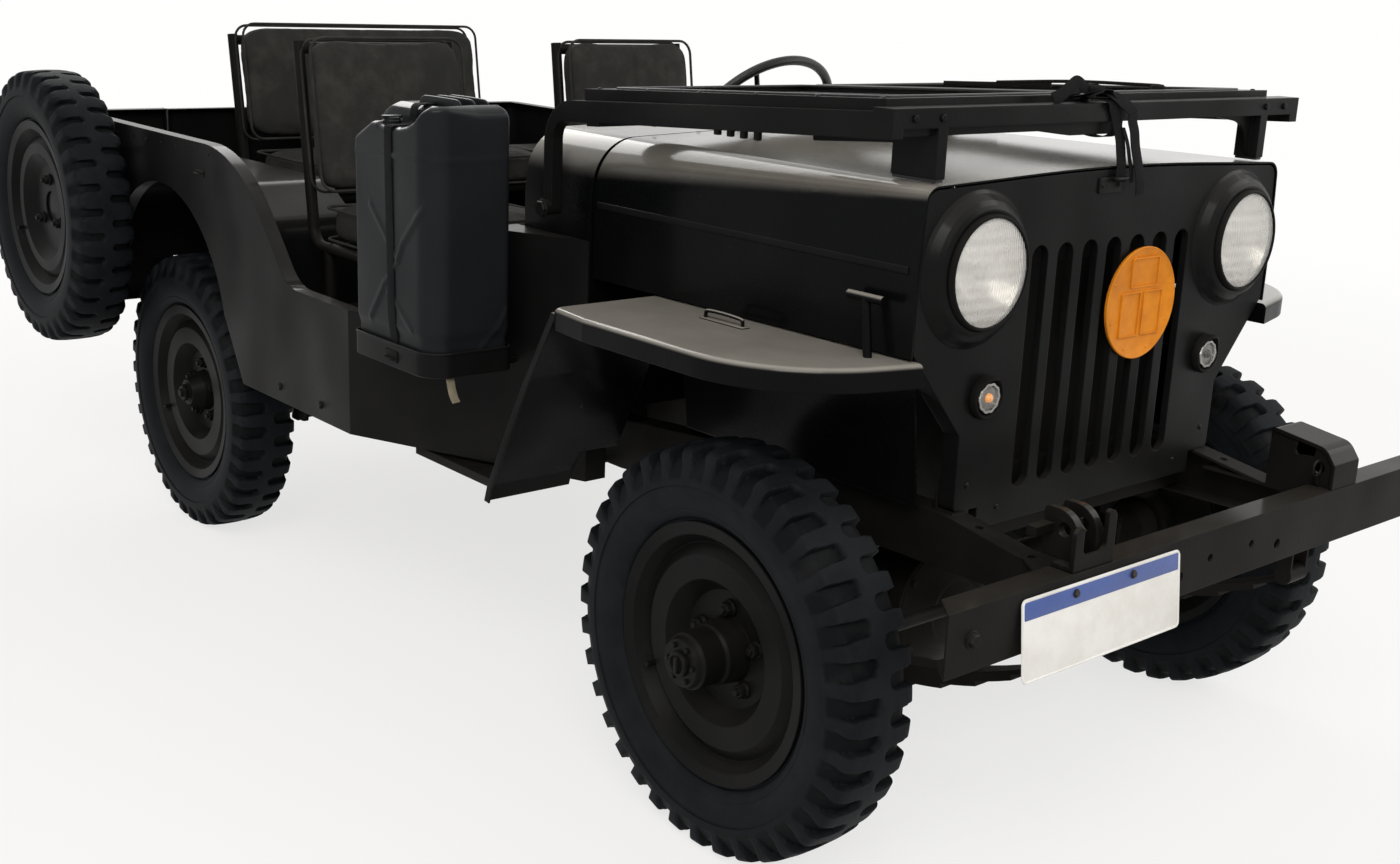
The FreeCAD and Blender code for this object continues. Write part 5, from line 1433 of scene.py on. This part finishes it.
    def top(self, low: np.ndarray, high: np.ndarray) -> None:
        """Three flat grips along the inboard half and the small clamped cap at the notch's rear end.

        Args:
            low: The can's low corner.
            high: Its high corner.
        """
        shape = Shape()
        z = high[2]
        for y in (-706.0, -676.0, -648.0):
            path = [(low[0] + 90, y, z - 14), (low[0] + 98, y, z - 6), (low[0] + 116, y, z - 4),
                    (high[0] - 78, y, z - 4), (high[0] - 60, y, z - 6), (high[0] - 52, y, z - 14)]
            shape.grid(carried(rounded_rectangle(17, 5, 2.2), smooth_path(path, 40), (0, 1, 0))[:, ::-1])
        shape.build("fuel_can_handles", CAN_PAINT, Body.CHASSIS, Slot.CAN)
        cap = Shape()
        seat = facing((-818, -770, 1131), (0, 0, 1), (0, 1, 0))
        cap.grid(revolved([(0, 17), (8, 17), (9.5, 15.5), (13, 15.5), (15, 13), (15.5, 0.5)], 36), seat)
        cap.grid(slab(rounded_rectangle(16, 40, 5), 13, 17.5, 1.5), seat)
        cap.build("fuel_can_cap", CAN_PAINT, Body.CHASSIS, Slot.CAN)

    def strap(self, low: np.ndarray, high: np.ndarray) -> None:
        """Webbing from the tray up the outboard face, over the notch and top, and down the inboard face.

        Args:
            low: The can's low corner.
            high: Its high corner.
        """
        x = -775.0
        out, inner, top, floor = low[1] - 1.2, high[1] + 1.2, high[2] - 8.4, 1134.2
        wall = self.split - 4.5
        path = [(x + 6, out + 4.4, 700), (x + 6, out + 4.4, 742), (x + 5, out, 790), (x + 3, out, 900),
                (x, out, 1020), (x - 1, out, floor - 14), (x - 1, out + 4, floor - 2),
                (x - 1, out + 14, floor), (x, wall - 14, floor), (x, wall - 3, floor + 3),
                (x, wall, floor + 12), (x, wall, top - 16), (x, wall + 4, top - 4), (x, wall + 22, top),
                (x, inner - 14, top), (x, inner - 3, top - 3), (x, inner, top - 16), (x, inner, 900),
                (x, inner, 745)]
        shape = Shape().grid(carried(ribbon(26, 2.2, True), smooth_path(path, 150), (1, 0, 0)))
        shape.build("fuel_can_strap", WEBBING, Body.CHASSIS, Slot.CAN)

    def tray(self, low: np.ndarray, high: np.ndarray) -> None:
        """The tray with its rolled rim and two arms, a strap bracket on its face and the strap end below.

        Args:
            low: The can's low corner.
            high: Its high corner.
        """
        foot, rim = low[2] - 3.5, low[2] + 43.0
        skin = []
        for grow, z in ((-90, foot), (2.4, foot), (4, foot + 1.6), (4, rim - 5), (5.2, rim - 3.6),
                        (5.2, rim - 1.2), (4, rim), (1, rim), (1, rim - 5), (1, foot + 3.0),
                        (-90, foot + 3.0)):
            plan = cornered(low[:2] - min(grow, 6), high[:2] + min(grow, 6),
                            [r + max(grow, 0) for r in self.corners])
            if grow < 0:
                plan = (low + high)[:2] / 2 + (plan - (low + high)[:2] / 2) * 0.02
            skin.append(np.column_stack([plan, np.full(len(plan), z)]))
        shell = Shape().grid(np.stack(skin))
        for x in (low[0] + 105, high[0] - 95):
            arm = facing((x, (low[1] + 40 - 545) / 2, foot - 11), (0, 0, 1), (0, 1, 0))
            shell.grid(slab(rounded_rectangle(30, -545 - low[1] - 40, 2), 0, 11.2, 0.8), arm)
        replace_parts(shell.build("fuel_can_tray", BODY_PAINT, Body.CHASSIS, Slot.ARMY), "can_carrier")
        bracket = Shape()
        place = facing((-768, low[1] - 3.4, 712), (0, -1, 0))
        bracket.grid(slab(rounded_rectangle(46, 22, 3), -1, 3, 1.0), place)
        bracket.tube([place.of(np.array(p))
                      for p in ((-16, -4, 2), (-14, -4, 8), (0, -4, 9), (14, -4, 8), (16, -4, 2))],
                     2.2, 16, (0, 0, 1))
        bracket.build("fuel_can_tray_bracket", CHASSIS_PAINT, Body.CHASSIS, Slot.CAN)
        tail = [(-652, -752, 693), (-644, -756, 687), (-640, -757, 680), (-638, -756, 668), (-634, -754, 654),
                (-627, -753, 645)]
        end = Shape().grid(carried(ribbon(17, quarter=True), smooth_path(tail, 24), (0, 1, 0)))
        end.build("fuel_can_strap_end", TAN_WEBBING, Body.CHASSIS, Slot.CAN)


# ------------------------------------------------------------------ body
@dataclass
class BodyDetails:
    """Bolt and rivet heads, hinges, tail lamp lenses and latches of the body."""

    body_half: float = 717.0
    rear_x: float = -2642.0
    fender_top: float = 862.0

    def build(self) -> None:
        """Makes one piece of small parts for each panel group."""
        self.sides()
        self.fenders()
        self.rear()
        self.hood()

    def sides(self) -> None:
        """Rivets, step bolts and strap loops along the sides, and the filler cap on the left."""
        shape = Shape()
        for side in (-1, 1):
            for x in np.linspace(-1750, -2560, 10):
                shape.rivet(facing((x, side * self.body_half, 978), (0, side, 0)), 3.6, 1.4)
            for z in np.linspace(540, 930, 7):
                shape.rivet(facing((self.rear_x, side * 480, z), (-1, 0, 0)), 3.6, 1.4)
            for x in (-1230, -1420):
                shape.bolt(facing((x, side * self.body_half, 500), (0, side, 0)), 13, 5, 9)
            for x in (-1800, -2300):
                place = facing((x, side * self.body_half, 930), (0, side, 0))
                shape.grid(slab(rounded_rectangle(46, 16, 4), 0, 2.4, 0.8), place)
                shape.tube([place.of(np.array(p))
                            for p in ((-14, 0, 1), (-12, 0, 9), (0, 0, 11), (12, 0, 9), (14, 0, 1))],
                           2.4, 16, (0, 0, 1))
        filler = facing((-1330, self.body_half, 640), (0, 1, 0))
        shape.grid(revolved([(0, 52), (2.5, 52), (4, 50), (4, 40), (9, 40), (9, 46), (20, 46), (23, 43),
                             (23.5, 0.5)], 40), filler)
        for angle in (0.0, TAU / 3, 2 * TAU / 3):
            at = filler.of(np.array([31 * math.cos(angle), 31 * math.sin(angle), 23]))
            shape.rivet(facing(tuple(at), (0, 1, 0)), 4, 3)
        shape.build("body_side_fasteners", BODY_PAINT, Body.CHASSIS, Slot.ARMY)

    def fenders(self) -> None:
        """Bolts that hold the fenders to the frame panel and to the body's side."""
        for name, side in (("right", -1), ("left", 1)):
            shape = Shape()
            for x in (-330, -180, -30, 110):
                shape.bolt(facing((x, side * 446, self.fender_top), (0, 0, 1), (1, 0, 0)), 12, 5, 9)
            for x, z in ((-425, 790), (-505, 640), (-575, 505)):
                shape.bolt(facing((x - 4, side * 560, z + 3), (0.87, 0, 0.49), (0, 1, 0)), 11, 4, 8)
            shape.build(f"front_fender_bolts_{name}", HOOD_PAINT, Body.CHASSIS, Slot.ARMY)

    def hood(self) -> None:
        """Rivets along the hood's rear edge, its pressed side lines and the small grip on each fender."""
        shape = Shape()
        for y in np.linspace(-330, 330, 7):
            shape.rivet(facing((-600, y, 1135.5), (0, 0, 1), (1, 0, 0)), 4.5, 2.0)
        beads = Shape()
        bead = rounded_rectangle(4.4, 13, 2.1, 4)
        for side in (-1, 1):
            path = [(x, side * (491.6 - 0.0177 * x), 1001 - 0.004 * x) for x in np.linspace(214, -545, 12)]
            beads.grid(carried(bead, np.array(path)))
            shape.tube([(-92, side * 541, 862), (-92, side * 541, 871), (-98, side * 541, 875),
                        (-140, side * 542, 877), (-176, side * 543, 876), (-182, side * 543, 871),
                        (-182, side * 543, 862)], 3.2, 40, (0, 1, 0))
            shape.grid(slab(rounded_rectangle(112, 20, 5), 0, 2.6, 0.8),
                       facing((-137, side * 542, 861.5), (0, 0, 1), (0, 1, 0)))
        shape.build("hood_fasteners", HOOD_PAINT, Body.CHASSIS, Slot.ARMY)
        # The side beads take the lighter body paint rather than the hood's own, a painted highlight along the
        # crease.
        beads.build("hood_side_beads", BODY_PAINT, Body.CHASSIS, Slot.ARMY)

    def rear(self) -> None:
        """Tail lamp lenses and the tailgate's bolts, catch plates and hooks."""
        for name, side in (("right", -1), ("left", 1)):
            place = facing((self.rear_x - 30, side * 600, 760), (-1, 0, 0))
            dome = [(-3, 36), (1, 37), (3, 36), (6.0, 30), (7.6, 20), (8.2, 10), (8.4, 0.4)]
            Shape().grid(revolved(dome, 40), place).build(f"tail_lens_{name}", RED_LENS, Body.CHASSIS,
                                                          Slot.TAIL, 60)
        gate = Shape()
        for y in (-330, -110, 110, 330):
            gate.bolt(facing((self.rear_x, y, 655), (-1, 0, 0)), 11, 4, 8)
        for side in (-1, 1):
            gate.grid(slab(rounded_rectangle(40, 60, 6), 0, 4, 1.0),
                      facing((self.rear_x, side * 418, 955), (-1, 0, 0)))
            gate.tube([(self.rear_x - 2, side * 418, 965), (self.rear_x - 16, side * 424, 968),
                       (self.rear_x - 20, side * 438, 964), (self.rear_x - 16, side * 446, 958)], 4, 20)
        gate.build("tailgate_fittings", BODY_PAINT, Body.TAILGATE, Slot.ARMY)


@dataclass
class RunningGear:
    """Nuts and covers on the axles and springs that show from below and through the wheels."""

    axle_z: float = 348.0
    wheelbase: float = 2032.0

    def build(self) -> None:
        """One piece for each axle."""
        for name, x, toward in (("front", 0.0, 1.0), ("rear", -self.wheelbase, -1.0)):
            shape = Shape()
            cover = facing((x + toward * 70, -180, self.axle_z), (toward, 0, 0))
            shape.grid(revolved([(0, 108), (4, 108), (6, 104), (12, 96), (34, 60), (40, 30), (41, 0.5)], 48),
                       cover)
            for angle in circle(10):
                at = cover.of(np.array([101 * math.cos(angle), 101 * math.sin(angle), 5]))
                shape.bolt(facing(tuple(at), (toward, 0, 0)), 13, 6)
            for side in (-1, 1):
                for a in (-48, 48):
                    for y in (-377, -319):
                        foot = facing((x + a, side * y, self.axle_z - 46 - 40 - 10), (0, 0, -1), (1, 0, 0))
                        shape.bolt(foot, 19, 11, 12)
            shape.build(f"{name}_axle_fasteners", CHASSIS_PAINT, Body.CHASSIS, Slot.CHASSIS)


# ------------------------------------------------------------------ cockpit
@dataclass
class Cockpit:
    """Dials with plain marks, switches, lever boots and pedal rubbers."""

    dash_x: float = -775.0
    dials: tuple[tuple[float, float, float], ...] = ((0, 1030, 44), (-82, 1058, 25), (82, 1058, 25),
                                                     (-82, 1000, 25), (82, 1000, 25))

    def build(self) -> None:
        """Makes the panel, the dials, the switches and the floor pieces."""
        panel = facing((self.dash_x, 0, 1028), (-1, 0, 0))
        plate = Shape().grid(slab(rounded_rectangle(270, 126, 14), 0, 3, 0.8), panel)
        for x, y in ((-124, 50), (124, 50), (-124, -50), (124, -50)):
            plate.rivet(facing(tuple(panel.of(np.array([x, y, 3]))), (-1, 0, 0)), 4, 2)
        plate.build("dash_panel", BODY_PAINT, Body.CHASSIS, Slot.ARMY)
        faces, rims, marks = Shape(), Shape(), Shape()
        for y, z, radius in self.dials:
            place = facing((self.dash_x - 3, y, z), (-1, 0, 0))
            faces.grid(revolved([(0, radius), (2, radius), (2, 0.4)], 40), place)
            rims.grid(revolved([(0, radius + 4), (5, radius + 4), (7, radius + 2), (6, radius - 1),
                                (2, radius - 1)], 40), place)
            self.dial_marks(marks, place, radius)
        faces.build("dial_faces", DIAL_FACE, Body.CHASSIS, Slot.PLASTIC)
        rims.build("dial_rims", CHASSIS_PAINT, Body.CHASSIS, Slot.ARMY)
        marks.build("dial_marks", DIAL_WHITE, Body.CHASSIS, Slot.PLASTIC)
        switches = Shape()
        for y in (-190, -160, 165, 195, 225):
            place = facing((self.dash_x, y, 1000), (-1, 0, 0))
            switches.grid(revolved([(0, 11), (3, 11), (4, 4), (16, 4), (17, 9), (24, 9), (26, 6), (26, 0.4)],
                                   24), place)
        switches.build("dash_switches", PLASTIC, Body.CHASSIS, Slot.PLASTIC)
        rubber = Shape()
        for x, y in ((-900, 20), (-985, -60), (-985, -100)):
            bellows = [(0, 34), (6, 34), (9, 27), (15, 30), (18, 22), (24, 25), (28, 16), (34, 19), (40, 9),
                       (46, 8)]
            rubber.grid(revolved(bellows, 28), facing((x, y, 572.5), (0, 0, 1), (1, 0, 0)))
        for y in (265, 420):
            pad = facing((-705, y, 762), (-1, 0, 0))
            rubber.grid(slab(rounded_rectangle(66, 58, 8), 0.2, 6, 1.5), pad)
            for ridge in (-18, 0, 18):
                rubber.grid(slab(rounded_rectangle(54, 5, 2), 5.5, 8, 0.8),
                            facing((-705, y, 762 + ridge), (-1, 0, 0)))
        rubber.build("floor_rubbers", PLASTIC, Body.CHASSIS, Slot.PLASTIC)
        horn = Shape().grid(revolved([(0, 27), (5, 27), (9, 22), (11, 12), (11.5, 0.4)], 32),
                            self.wheel_place())
        horn.build("horn_button", PLASTIC, Body.HAND_WHEEL, Slot.PLASTIC)

    def wheel_place(self) -> Place:
        """The steering wheel hub's top.

        Returns:
            The frame, its z along the column.
        """
        wheel, foot = np.array([-1035.0, 330.0, 1075.0]), np.array([-445.0, 330.0, 662.0])
        axis = (wheel - foot) / np.linalg.norm(wheel - foot)
        return facing(tuple(wheel + axis * 2), tuple(axis), (0, 1, 0))

    def dial_marks(self, shape: Shape, place: Place, radius: float) -> None:
        """Ten short marks over three quarters of a turn and a needle.

        Args:
            shape: Where they are added.
            place: The dial's middle.
            radius: Its radius.
        """
        marks = [(angle, 0.8, 2.0, 0.16, 0.6) for angle in np.linspace(-0.25 * math.pi, 1.25 * math.pi, 10)]
        for angle, reach, lift, length, thick in marks + [(math.radians(210), 0.3, 2.6, 0.75, 0.8)]:
            out = np.array([math.cos(angle), math.sin(angle), 0.0])
            side = np.array([-math.sin(angle), math.cos(angle), 0.0])
            centre = place.of(out * radius * reach + np.array([0, 0, lift]))
            across, along = (place.of(way) - place.of(np.zeros(3)) for way in (side, out))
            bar = rounded_rectangle(radius * 0.05, radius * length, radius * 0.02, 1)
            shape.grid(slab(bar, 0, thick, 0.1), Place(tuple(centre), tuple(across), tuple(along), place.z))


# ------------------------------------------------------------------ seats
@dataclass
class Seats:
    """Sewn canvas pads, swollen by a cloth simulation, with piping along their seams."""

    voxel: float = 0.007
    pressure: float = 4.0
    travel: float = 0.016
    frames: int = 20

    def build(self) -> None:
        """Makes six pads in place of the plain solids."""
        table = []
        for name, y in (("right", -355.0), ("left", 355.0)):
            table.append((f"seat_cushion_{name}", (-1505, -1128), y, 205, (808, 882), 0.0,
                          "front_seat_pads", 2))
            table.append((f"seat_back_{name}", (-1586, -1536), y, 200, (905, 1250), 8.0,
                          "front_seat_pads", 2))
        table.append(("bench_cushion", (-2262, -1908), 0.0, 370, (848, 922), 0.0, "rear_seat_pads", 4))
        table.append(("bench_back", (-2342, -2292), 0.0, 365, (945, 1250), 8.0, "rear_seat_pads", 4))
        for name, x, y, half, z, lean, node, panels in table:
            self.pad(name, x, y, half, z, lean, node, panels)

    def pad(self, name: str, x: tuple[float, float], y: float, half: float, z: tuple[float, float],
            lean: float, node: str, panels: int) -> None:
        """Makes one pad: a superellipse block, swollen, with a sewn edge.

        A point's place is sign(c) |c|^k in each direction, with c from a sphere and k 0.28, so that the
        block is flat with rounded edges.

        Args:
            name: The piece's name.
            x: Its ends fore and aft.
            y: Its middle across the vehicle.
            half: Half its width.
            z: Its low and high ends.
            lean: Degrees that a back pad leans back.
            node: The plain solid it stands for.
            panels: Sewn channels across its width.
        """
        middle = np.array([(x[0] + x[1]) / 2, y, (z[0] + z[1]) / 2])
        size = np.array([(x[1] - x[0]) / 2, half, (z[1] - z[0]) / 2])
        across, turn = np.linspace(-math.pi / 2 + 0.01, math.pi / 2 - 0.01, 40), circle(80)
        ball = np.stack([np.cos(across)[:, None] * np.cos(turn),
                         np.broadcast_to(np.sin(across)[:, None], (40, 80)),
                         np.cos(across)[:, None] * np.sin(turn)], axis=-1)
        block = np.sign(ball) * np.abs(ball) ** 0.28 * size
        a = math.radians(lean)
        shape = Shape().grid(turned_flat(block, a) + middle)
        piece = shape.build(name, CANVAS, Body.CHASSIS, Slot.SEAT, 180)
        self.swell(piece)
        self.channels(piece, middle, size, a, panels)
        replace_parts(piece, node)
        self.piping(name, middle, size, a)

    def swell(self, piece: bpy.types.Object) -> None:
        """Remeshes a pad, blows it up with a cloth simulation, caps the travel and subdivides once.

        Args:
            piece: The pad.
        """
        context = bpy.context
        remesh = piece.modifiers.new("even", "REMESH")
        remesh.mode = "VOXEL"
        remesh.voxel_size = self.voxel
        self.applied(piece)
        start = np.empty(len(piece.data.vertices) * 3)
        piece.data.vertices.foreach_get("co", start)
        start = start.reshape(-1, 3)
        cloth = piece.modifiers.new("swell", "CLOTH")
        cloth.settings.use_pressure = True
        cloth.settings.uniform_pressure_force = self.pressure
        cloth.settings.effector_weights.gravity = 0.0
        cloth.settings.quality = 4
        cloth.collision_settings.use_collision = False
        for frame_number in range(1, self.frames + 1):
            context.scene.frame_set(frame_number)
        self.applied(piece)
        context.scene.frame_set(1)
        moved = np.empty(len(piece.data.vertices) * 3)
        piece.data.vertices.foreach_get("co", moved)
        step = moved.reshape(-1, 3) - start
        length = np.linalg.norm(step, axis=1, keepdims=True)
        limit = self.travel * length / (length + self.travel)
        placed = start + step / np.maximum(length, 1e-9) * limit
        piece.data.vertices.foreach_set("co", placed.reshape(-1))
        piece.modifiers.new("smooth", "SUBSURF").levels = 1
        self.applied(piece)

    def applied(self, piece: bpy.types.Object) -> None:
        """Turns a piece's modifiers into its mesh.

        Args:
            piece: The piece.
        """
        graph = bpy.context.evaluated_depsgraph_get()
        mesh = bpy.data.meshes.new_from_object(piece.evaluated_get(graph))
        piece.modifiers.clear()
        piece.data = mesh
        mesh.polygons.foreach_set("use_smooth", np.ones(len(mesh.polygons), bool))

    def channels(self, piece: bpy.types.Object, middle: np.ndarray, size: np.ndarray, lean: float,
                 panels: int) -> None:
        """Presses the sewn channels in: 5 mm deep times exp(-(distance / 7 mm) squared), on the wide faces.

        Args:
            piece: The pad.
            middle: Its middle.
            size: Half its size.
            lean: Its lean in radians.
            panels: Panels across it.
        """
        count = len(piece.data.vertices)
        points = np.empty(count * 3)
        piece.data.vertices.foreach_get("co", points)
        points = points.reshape(-1, 3) / METRE - ORIGIN
        local = points - middle
        flat = turned_flat(local, -lean)
        thin = 0 if size[0] < size[2] else 2
        wide = np.abs(flat[:, thin]) / size[thin]
        press = np.zeros(count)
        for k in range(1, panels):
            seam = -size[1] + 2 * size[1] * k / panels
            press = np.maximum(press, np.exp(-((flat[:, 1] - seam) / 7.0) ** 2))
        flat[:, thin] -= np.sign(flat[:, thin]) * press * 5.0 * np.clip(wide, 0, 1)
        local = turned_flat(flat, lean)
        piece.data.vertices.foreach_set("co", ((local + middle + ORIGIN) * METRE).reshape(-1))
        piece.data.update()

    def piping(self, name: str, middle: np.ndarray, size: np.ndarray, lean: float) -> None:
        """A welt round each of the two wide faces.

        Args:
            name: The pad's name.
            middle: Its middle.
            size: Half its size.
            lean: Its lean in radians.
        """
        shape = Shape()
        thin = 0 if size[0] < size[2] else 2
        other = 2 - thin
        ring = rounded_rectangle(2 * size[1] * 0.99, 2 * size[other] * 0.99, 34, 6)
        c, s = math.cos(lean), math.sin(lean)
        up = (c, 0, s) if thin == 0 else (-s, 0, c)
        for face in (-1, 1):
            local = np.zeros((len(ring), 3))
            local[:, 1], local[:, other], local[:, thin] = ring[:, 0], ring[:, 1], face * size[thin] * 0.96
            path = turned_flat(local, lean)
            path = np.concatenate([path, path[:1]]) + middle
            shape.grid(carried(round_section(3.4, 8), path, up)[:-1], loop_u=True)
        shape.build(name + "_piping", CANVAS, Body.CHASSIS, Slot.SEAT, 180)


# ------------------------------------------------------------------ finishes of the frame's own nodes
DRESS: dict[Finish, tuple[str, ...]] = {
    CHASSIS_PAINT: ("chassis_frame", "front_axle", "rear_axle", "front_suspension", "rear_suspension",
                    "knuckle_right", "knuckle_left", "tie_rod", "radiator", "seat_frames"),
    BUMPER_PAINT: ("front_bumper", "front_tow_brackets"),
    IRON: ("engine_and_gearbox", "propshafts"),
    EXHAUST: ("exhaust",),
    HOOD_PAINT: ("hood", "cowl", "front_fender_right", "front_fender_left"),
    BODY_PAINT: ("grille", "body_side_right", "body_side_left", "floor_pan", "tailgate", "tail_lamps",
                 "windscreen_frame", "can_carrier", "spare_carrier", "fuel_tank"),
    WINDOW: ("windscreen_glass",),
    MIRROR: ("front_lamps",),
    PLASTIC: ("steering_wheel", "driver_controls"),
    CANVAS: ("front_seat_pads", "rear_seat_pads"),
    CAN_PAINT: ("fuel_can",),
    WHEEL_PAINT: ("spare_wheel", "front_wheel_right", "front_wheel_left", "rear_wheel_right",
                  "rear_wheel_left"),
    TYRE: ("spare_tyre", "front_tyre_right", "front_tyre_left", "rear_tyre_right", "rear_tyre_left"),
}


def dress() -> None:
    """Puts each node's finish on its material slots."""
    for finish, nodes in DRESS.items():
        for name in nodes:
            for material_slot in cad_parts[name].material_slots:
                material_slot.material = finish.material()
    bare = set(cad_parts) - {name for nodes in DRESS.values() for name in nodes}
    LOG.info("nodes with no finish of their own: %s", sorted(bare))


# ------------------------------------------------------------------ studio
@dataclass
class Studio:
    """Pale floor, soft lamps, a white surround and the camera.

    Args:
        eye: The camera's place, in vehicle millimetres; forward, right and above are its directions.
        lens: Focal length in millimetres.
        surround: Strength of the world's light on the object; daylight is its colour.
        white: Colour of the background where it is seen.
        pale: How far the floor near the object is whitened where it is seen.
        edge: Half the floor's width in metres.
        near: Distance at which the floor starts to turn wholly white, in metres.
        far: Distance at which it is wholly white.
        aim: The point that the lamps face, in metres.
    """

    eye: Point = (1829.1, -2282.4, 1406.6)
    forward: Point = (-0.72892, 0.62950, -0.26908)
    right: Point = (0.64490, 0.76328, 0.03865)
    above: Point = (-0.22972, 0.14536, 0.96234)
    lens: float = 41.53
    floor_colour: Colour = (0.8, 0.79, 0.775)
    surround: float = 0.55
    daylight: Colour = (1.0, 0.995, 0.985)
    white: Colour = (1.0, 0.997, 0.99)
    pale: float = 0.72
    edge: float = 60.0
    near: float = 2.6
    far: float = 7.0
    aim: Point = (0.2, 0.0, 0.6)

    def build(self) -> None:
        """Makes the floor, lamps, surround and camera."""
        self.floor()
        self.world()
        self.lamps()
        self.camera()

    def floor(self) -> None:
        """A wide level floor at ground height."""
        mesh = bpy.data.meshes.new("studio_floor")
        corners = [(x * self.edge, y * self.edge, 0.0) for x, y in ((-1, -1), (1, -1), (1, 1), (-1, 1))]
        mesh.from_pydata(corners, [], [(0, 1, 2, 3)])
        g = Graph("studio_floor")
        cloud = g.noise(0.8, 3.0, 0.6)
        colour = g.mix(cloud.step(0.3, 0.7) * 0.25, self.floor_colour,
                       tuple(c * 0.97 for c in self.floor_colour))
        mesh.materials.append(self.whitened(g, g.add("ShaderNodeBsdfPrincipled", {}, {
            "Base Color": colour, "Roughness": 0.85, "Specular IOR Level": 0.15}).outputs[0]))
        floor = bpy.data.objects.new("studio_floor", mesh)
        bpy.context.scene.collection.objects.link(floor)

    def whitened(self, g: Graph, shader: bpy.types.NodeSocket) -> bpy.types.Material:
        """Mixes white over a floor shader where it is seen, wholly far out, and keeps the near shadow.

        Args:
            g: The floor's graph.
            shader: Its plain shader.

        Returns:
            The material.
        """
        path = g.add("ShaderNodeLightPath").outputs
        seen = Signal(g, path["Is Camera Ray"]).larger(Signal(g, path["Is Glossy Ray"]))
        seen = seen.larger(Signal(g, path["Is Transmission Ray"]))
        x, y, _ = g.parts(g.place())
        far = ((x * x + y * y) ** 0.5).step(self.near, self.far)
        white = g.add("ShaderNodeEmission", {}, {"Color": self.white, "Strength": 1.0}).outputs[0]
        mixed = g.add("ShaderNodeMixShader", {},
                      {0: seen * (far * (1.0 - self.pale) + self.pale), 1: shader, 2: white})
        g.add("ShaderNodeOutputMaterial", {}, {"Surface": mixed.outputs[0]})
        return g.material

    def world(self) -> None:
        """White where it is seen straight, in gloss or through glass, and a plain grey light elsewhere."""
        world = bpy.data.worlds.new("studio")
        bpy.context.scene.world = world
        world.use_nodes = True
        tree = world.node_tree
        tree.nodes.clear()
        path = tree.nodes.new("ShaderNodeLightPath")
        seen = path.outputs["Is Camera Ray"]
        for ray in ("Is Glossy Ray", "Is Transmission Ray"):
            larger = tree.nodes.new("ShaderNodeMath")
            larger.operation = "MAXIMUM"
            tree.links.new(seen, larger.inputs[0])
            tree.links.new(path.outputs[ray], larger.inputs[1])
            seen = larger.outputs[0]
        choice = tree.nodes.new("ShaderNodeMixShader")
        tree.links.new(seen, choice.inputs[0])
        for index, (colour, strength) in enumerate(((self.daylight, self.surround), (self.white, 1.0)), 1):
            background = tree.nodes.new("ShaderNodeBackground")
            background.inputs["Color"].default_value = (*colour, 1.0)
            background.inputs["Strength"].default_value = strength
            tree.links.new(background.outputs[0], choice.inputs[index])
        output = tree.nodes.new("ShaderNodeOutputWorld")
        tree.links.new(choice.outputs[0], output.inputs["Surface"])

    def lamps(self) -> None:
        """A broad key lamp from the front right, a fill from the front left and a strip behind."""
        table = (("key", (5.2, -4.6, 5.6), 4.5, 380.0), ("fill", (4.5, 5.0, 4.0), 5.0, 150.0),
                 ("back", (-6.0, 1.5, 5.0), 4.0, 160.0))
        for name, at, size, power in table:
            lamp = bpy.data.lights.new("studio_" + name, "AREA")
            lamp.shape = "SQUARE"
            lamp.size = size
            lamp.energy = power
            lamp.color = (1.0, 0.985, 0.96)
            holder = bpy.data.objects.new("studio_" + name, lamp)
            z = np.array(at) - np.array(self.aim)
            z /= np.linalg.norm(z)
            x = np.cross((0, 0, 1), z)
            x /= np.linalg.norm(x)
            matrix = np.eye(4)
            matrix[:3, 0], matrix[:3, 1], matrix[:3, 2], matrix[:3, 3] = x, np.cross(z, x), z, at
            holder.matrix_world = Matrix(matrix.tolist())
            bpy.context.scene.collection.objects.link(holder)

    def camera(self) -> None:
        """The view from the front right, a little above the hood."""
        data = bpy.data.cameras.new("view")
        data.sensor_width = 36.0
        data.lens = self.lens
        camera = bpy.data.objects.new("view", data)
        matrix = np.eye(4)
        matrix[:3, 0], matrix[:3, 1], matrix[:3, 2] = self.right, self.above, -np.array(self.forward)
        matrix[:3, 3] = (np.array(self.eye) + ORIGIN) * METRE
        camera.matrix_world = Matrix(matrix.tolist())
        bpy.context.scene.collection.objects.link(camera)
        bpy.context.scene.camera = camera


def main() -> None:
    """Builds every sub-assembly in order."""
    logging.basicConfig(level=logging.INFO, format="%(name)s %(message)s")
    bpy.context.scene.view_settings.view_transform = "Standard"
    Studio().build()
    dress()
    for assembly in (Tyres(), WheelFasteners(), FrontPanel(), ScreenStrap(), ScreenDetails(), FuelCan(),
                     BodyDetails(), RunningGear(), Cockpit(), Seats()):
        LOG.info("building %s", type(assembly).__name__)
        assembly.build()


if __name__ == "__main__":
    main()
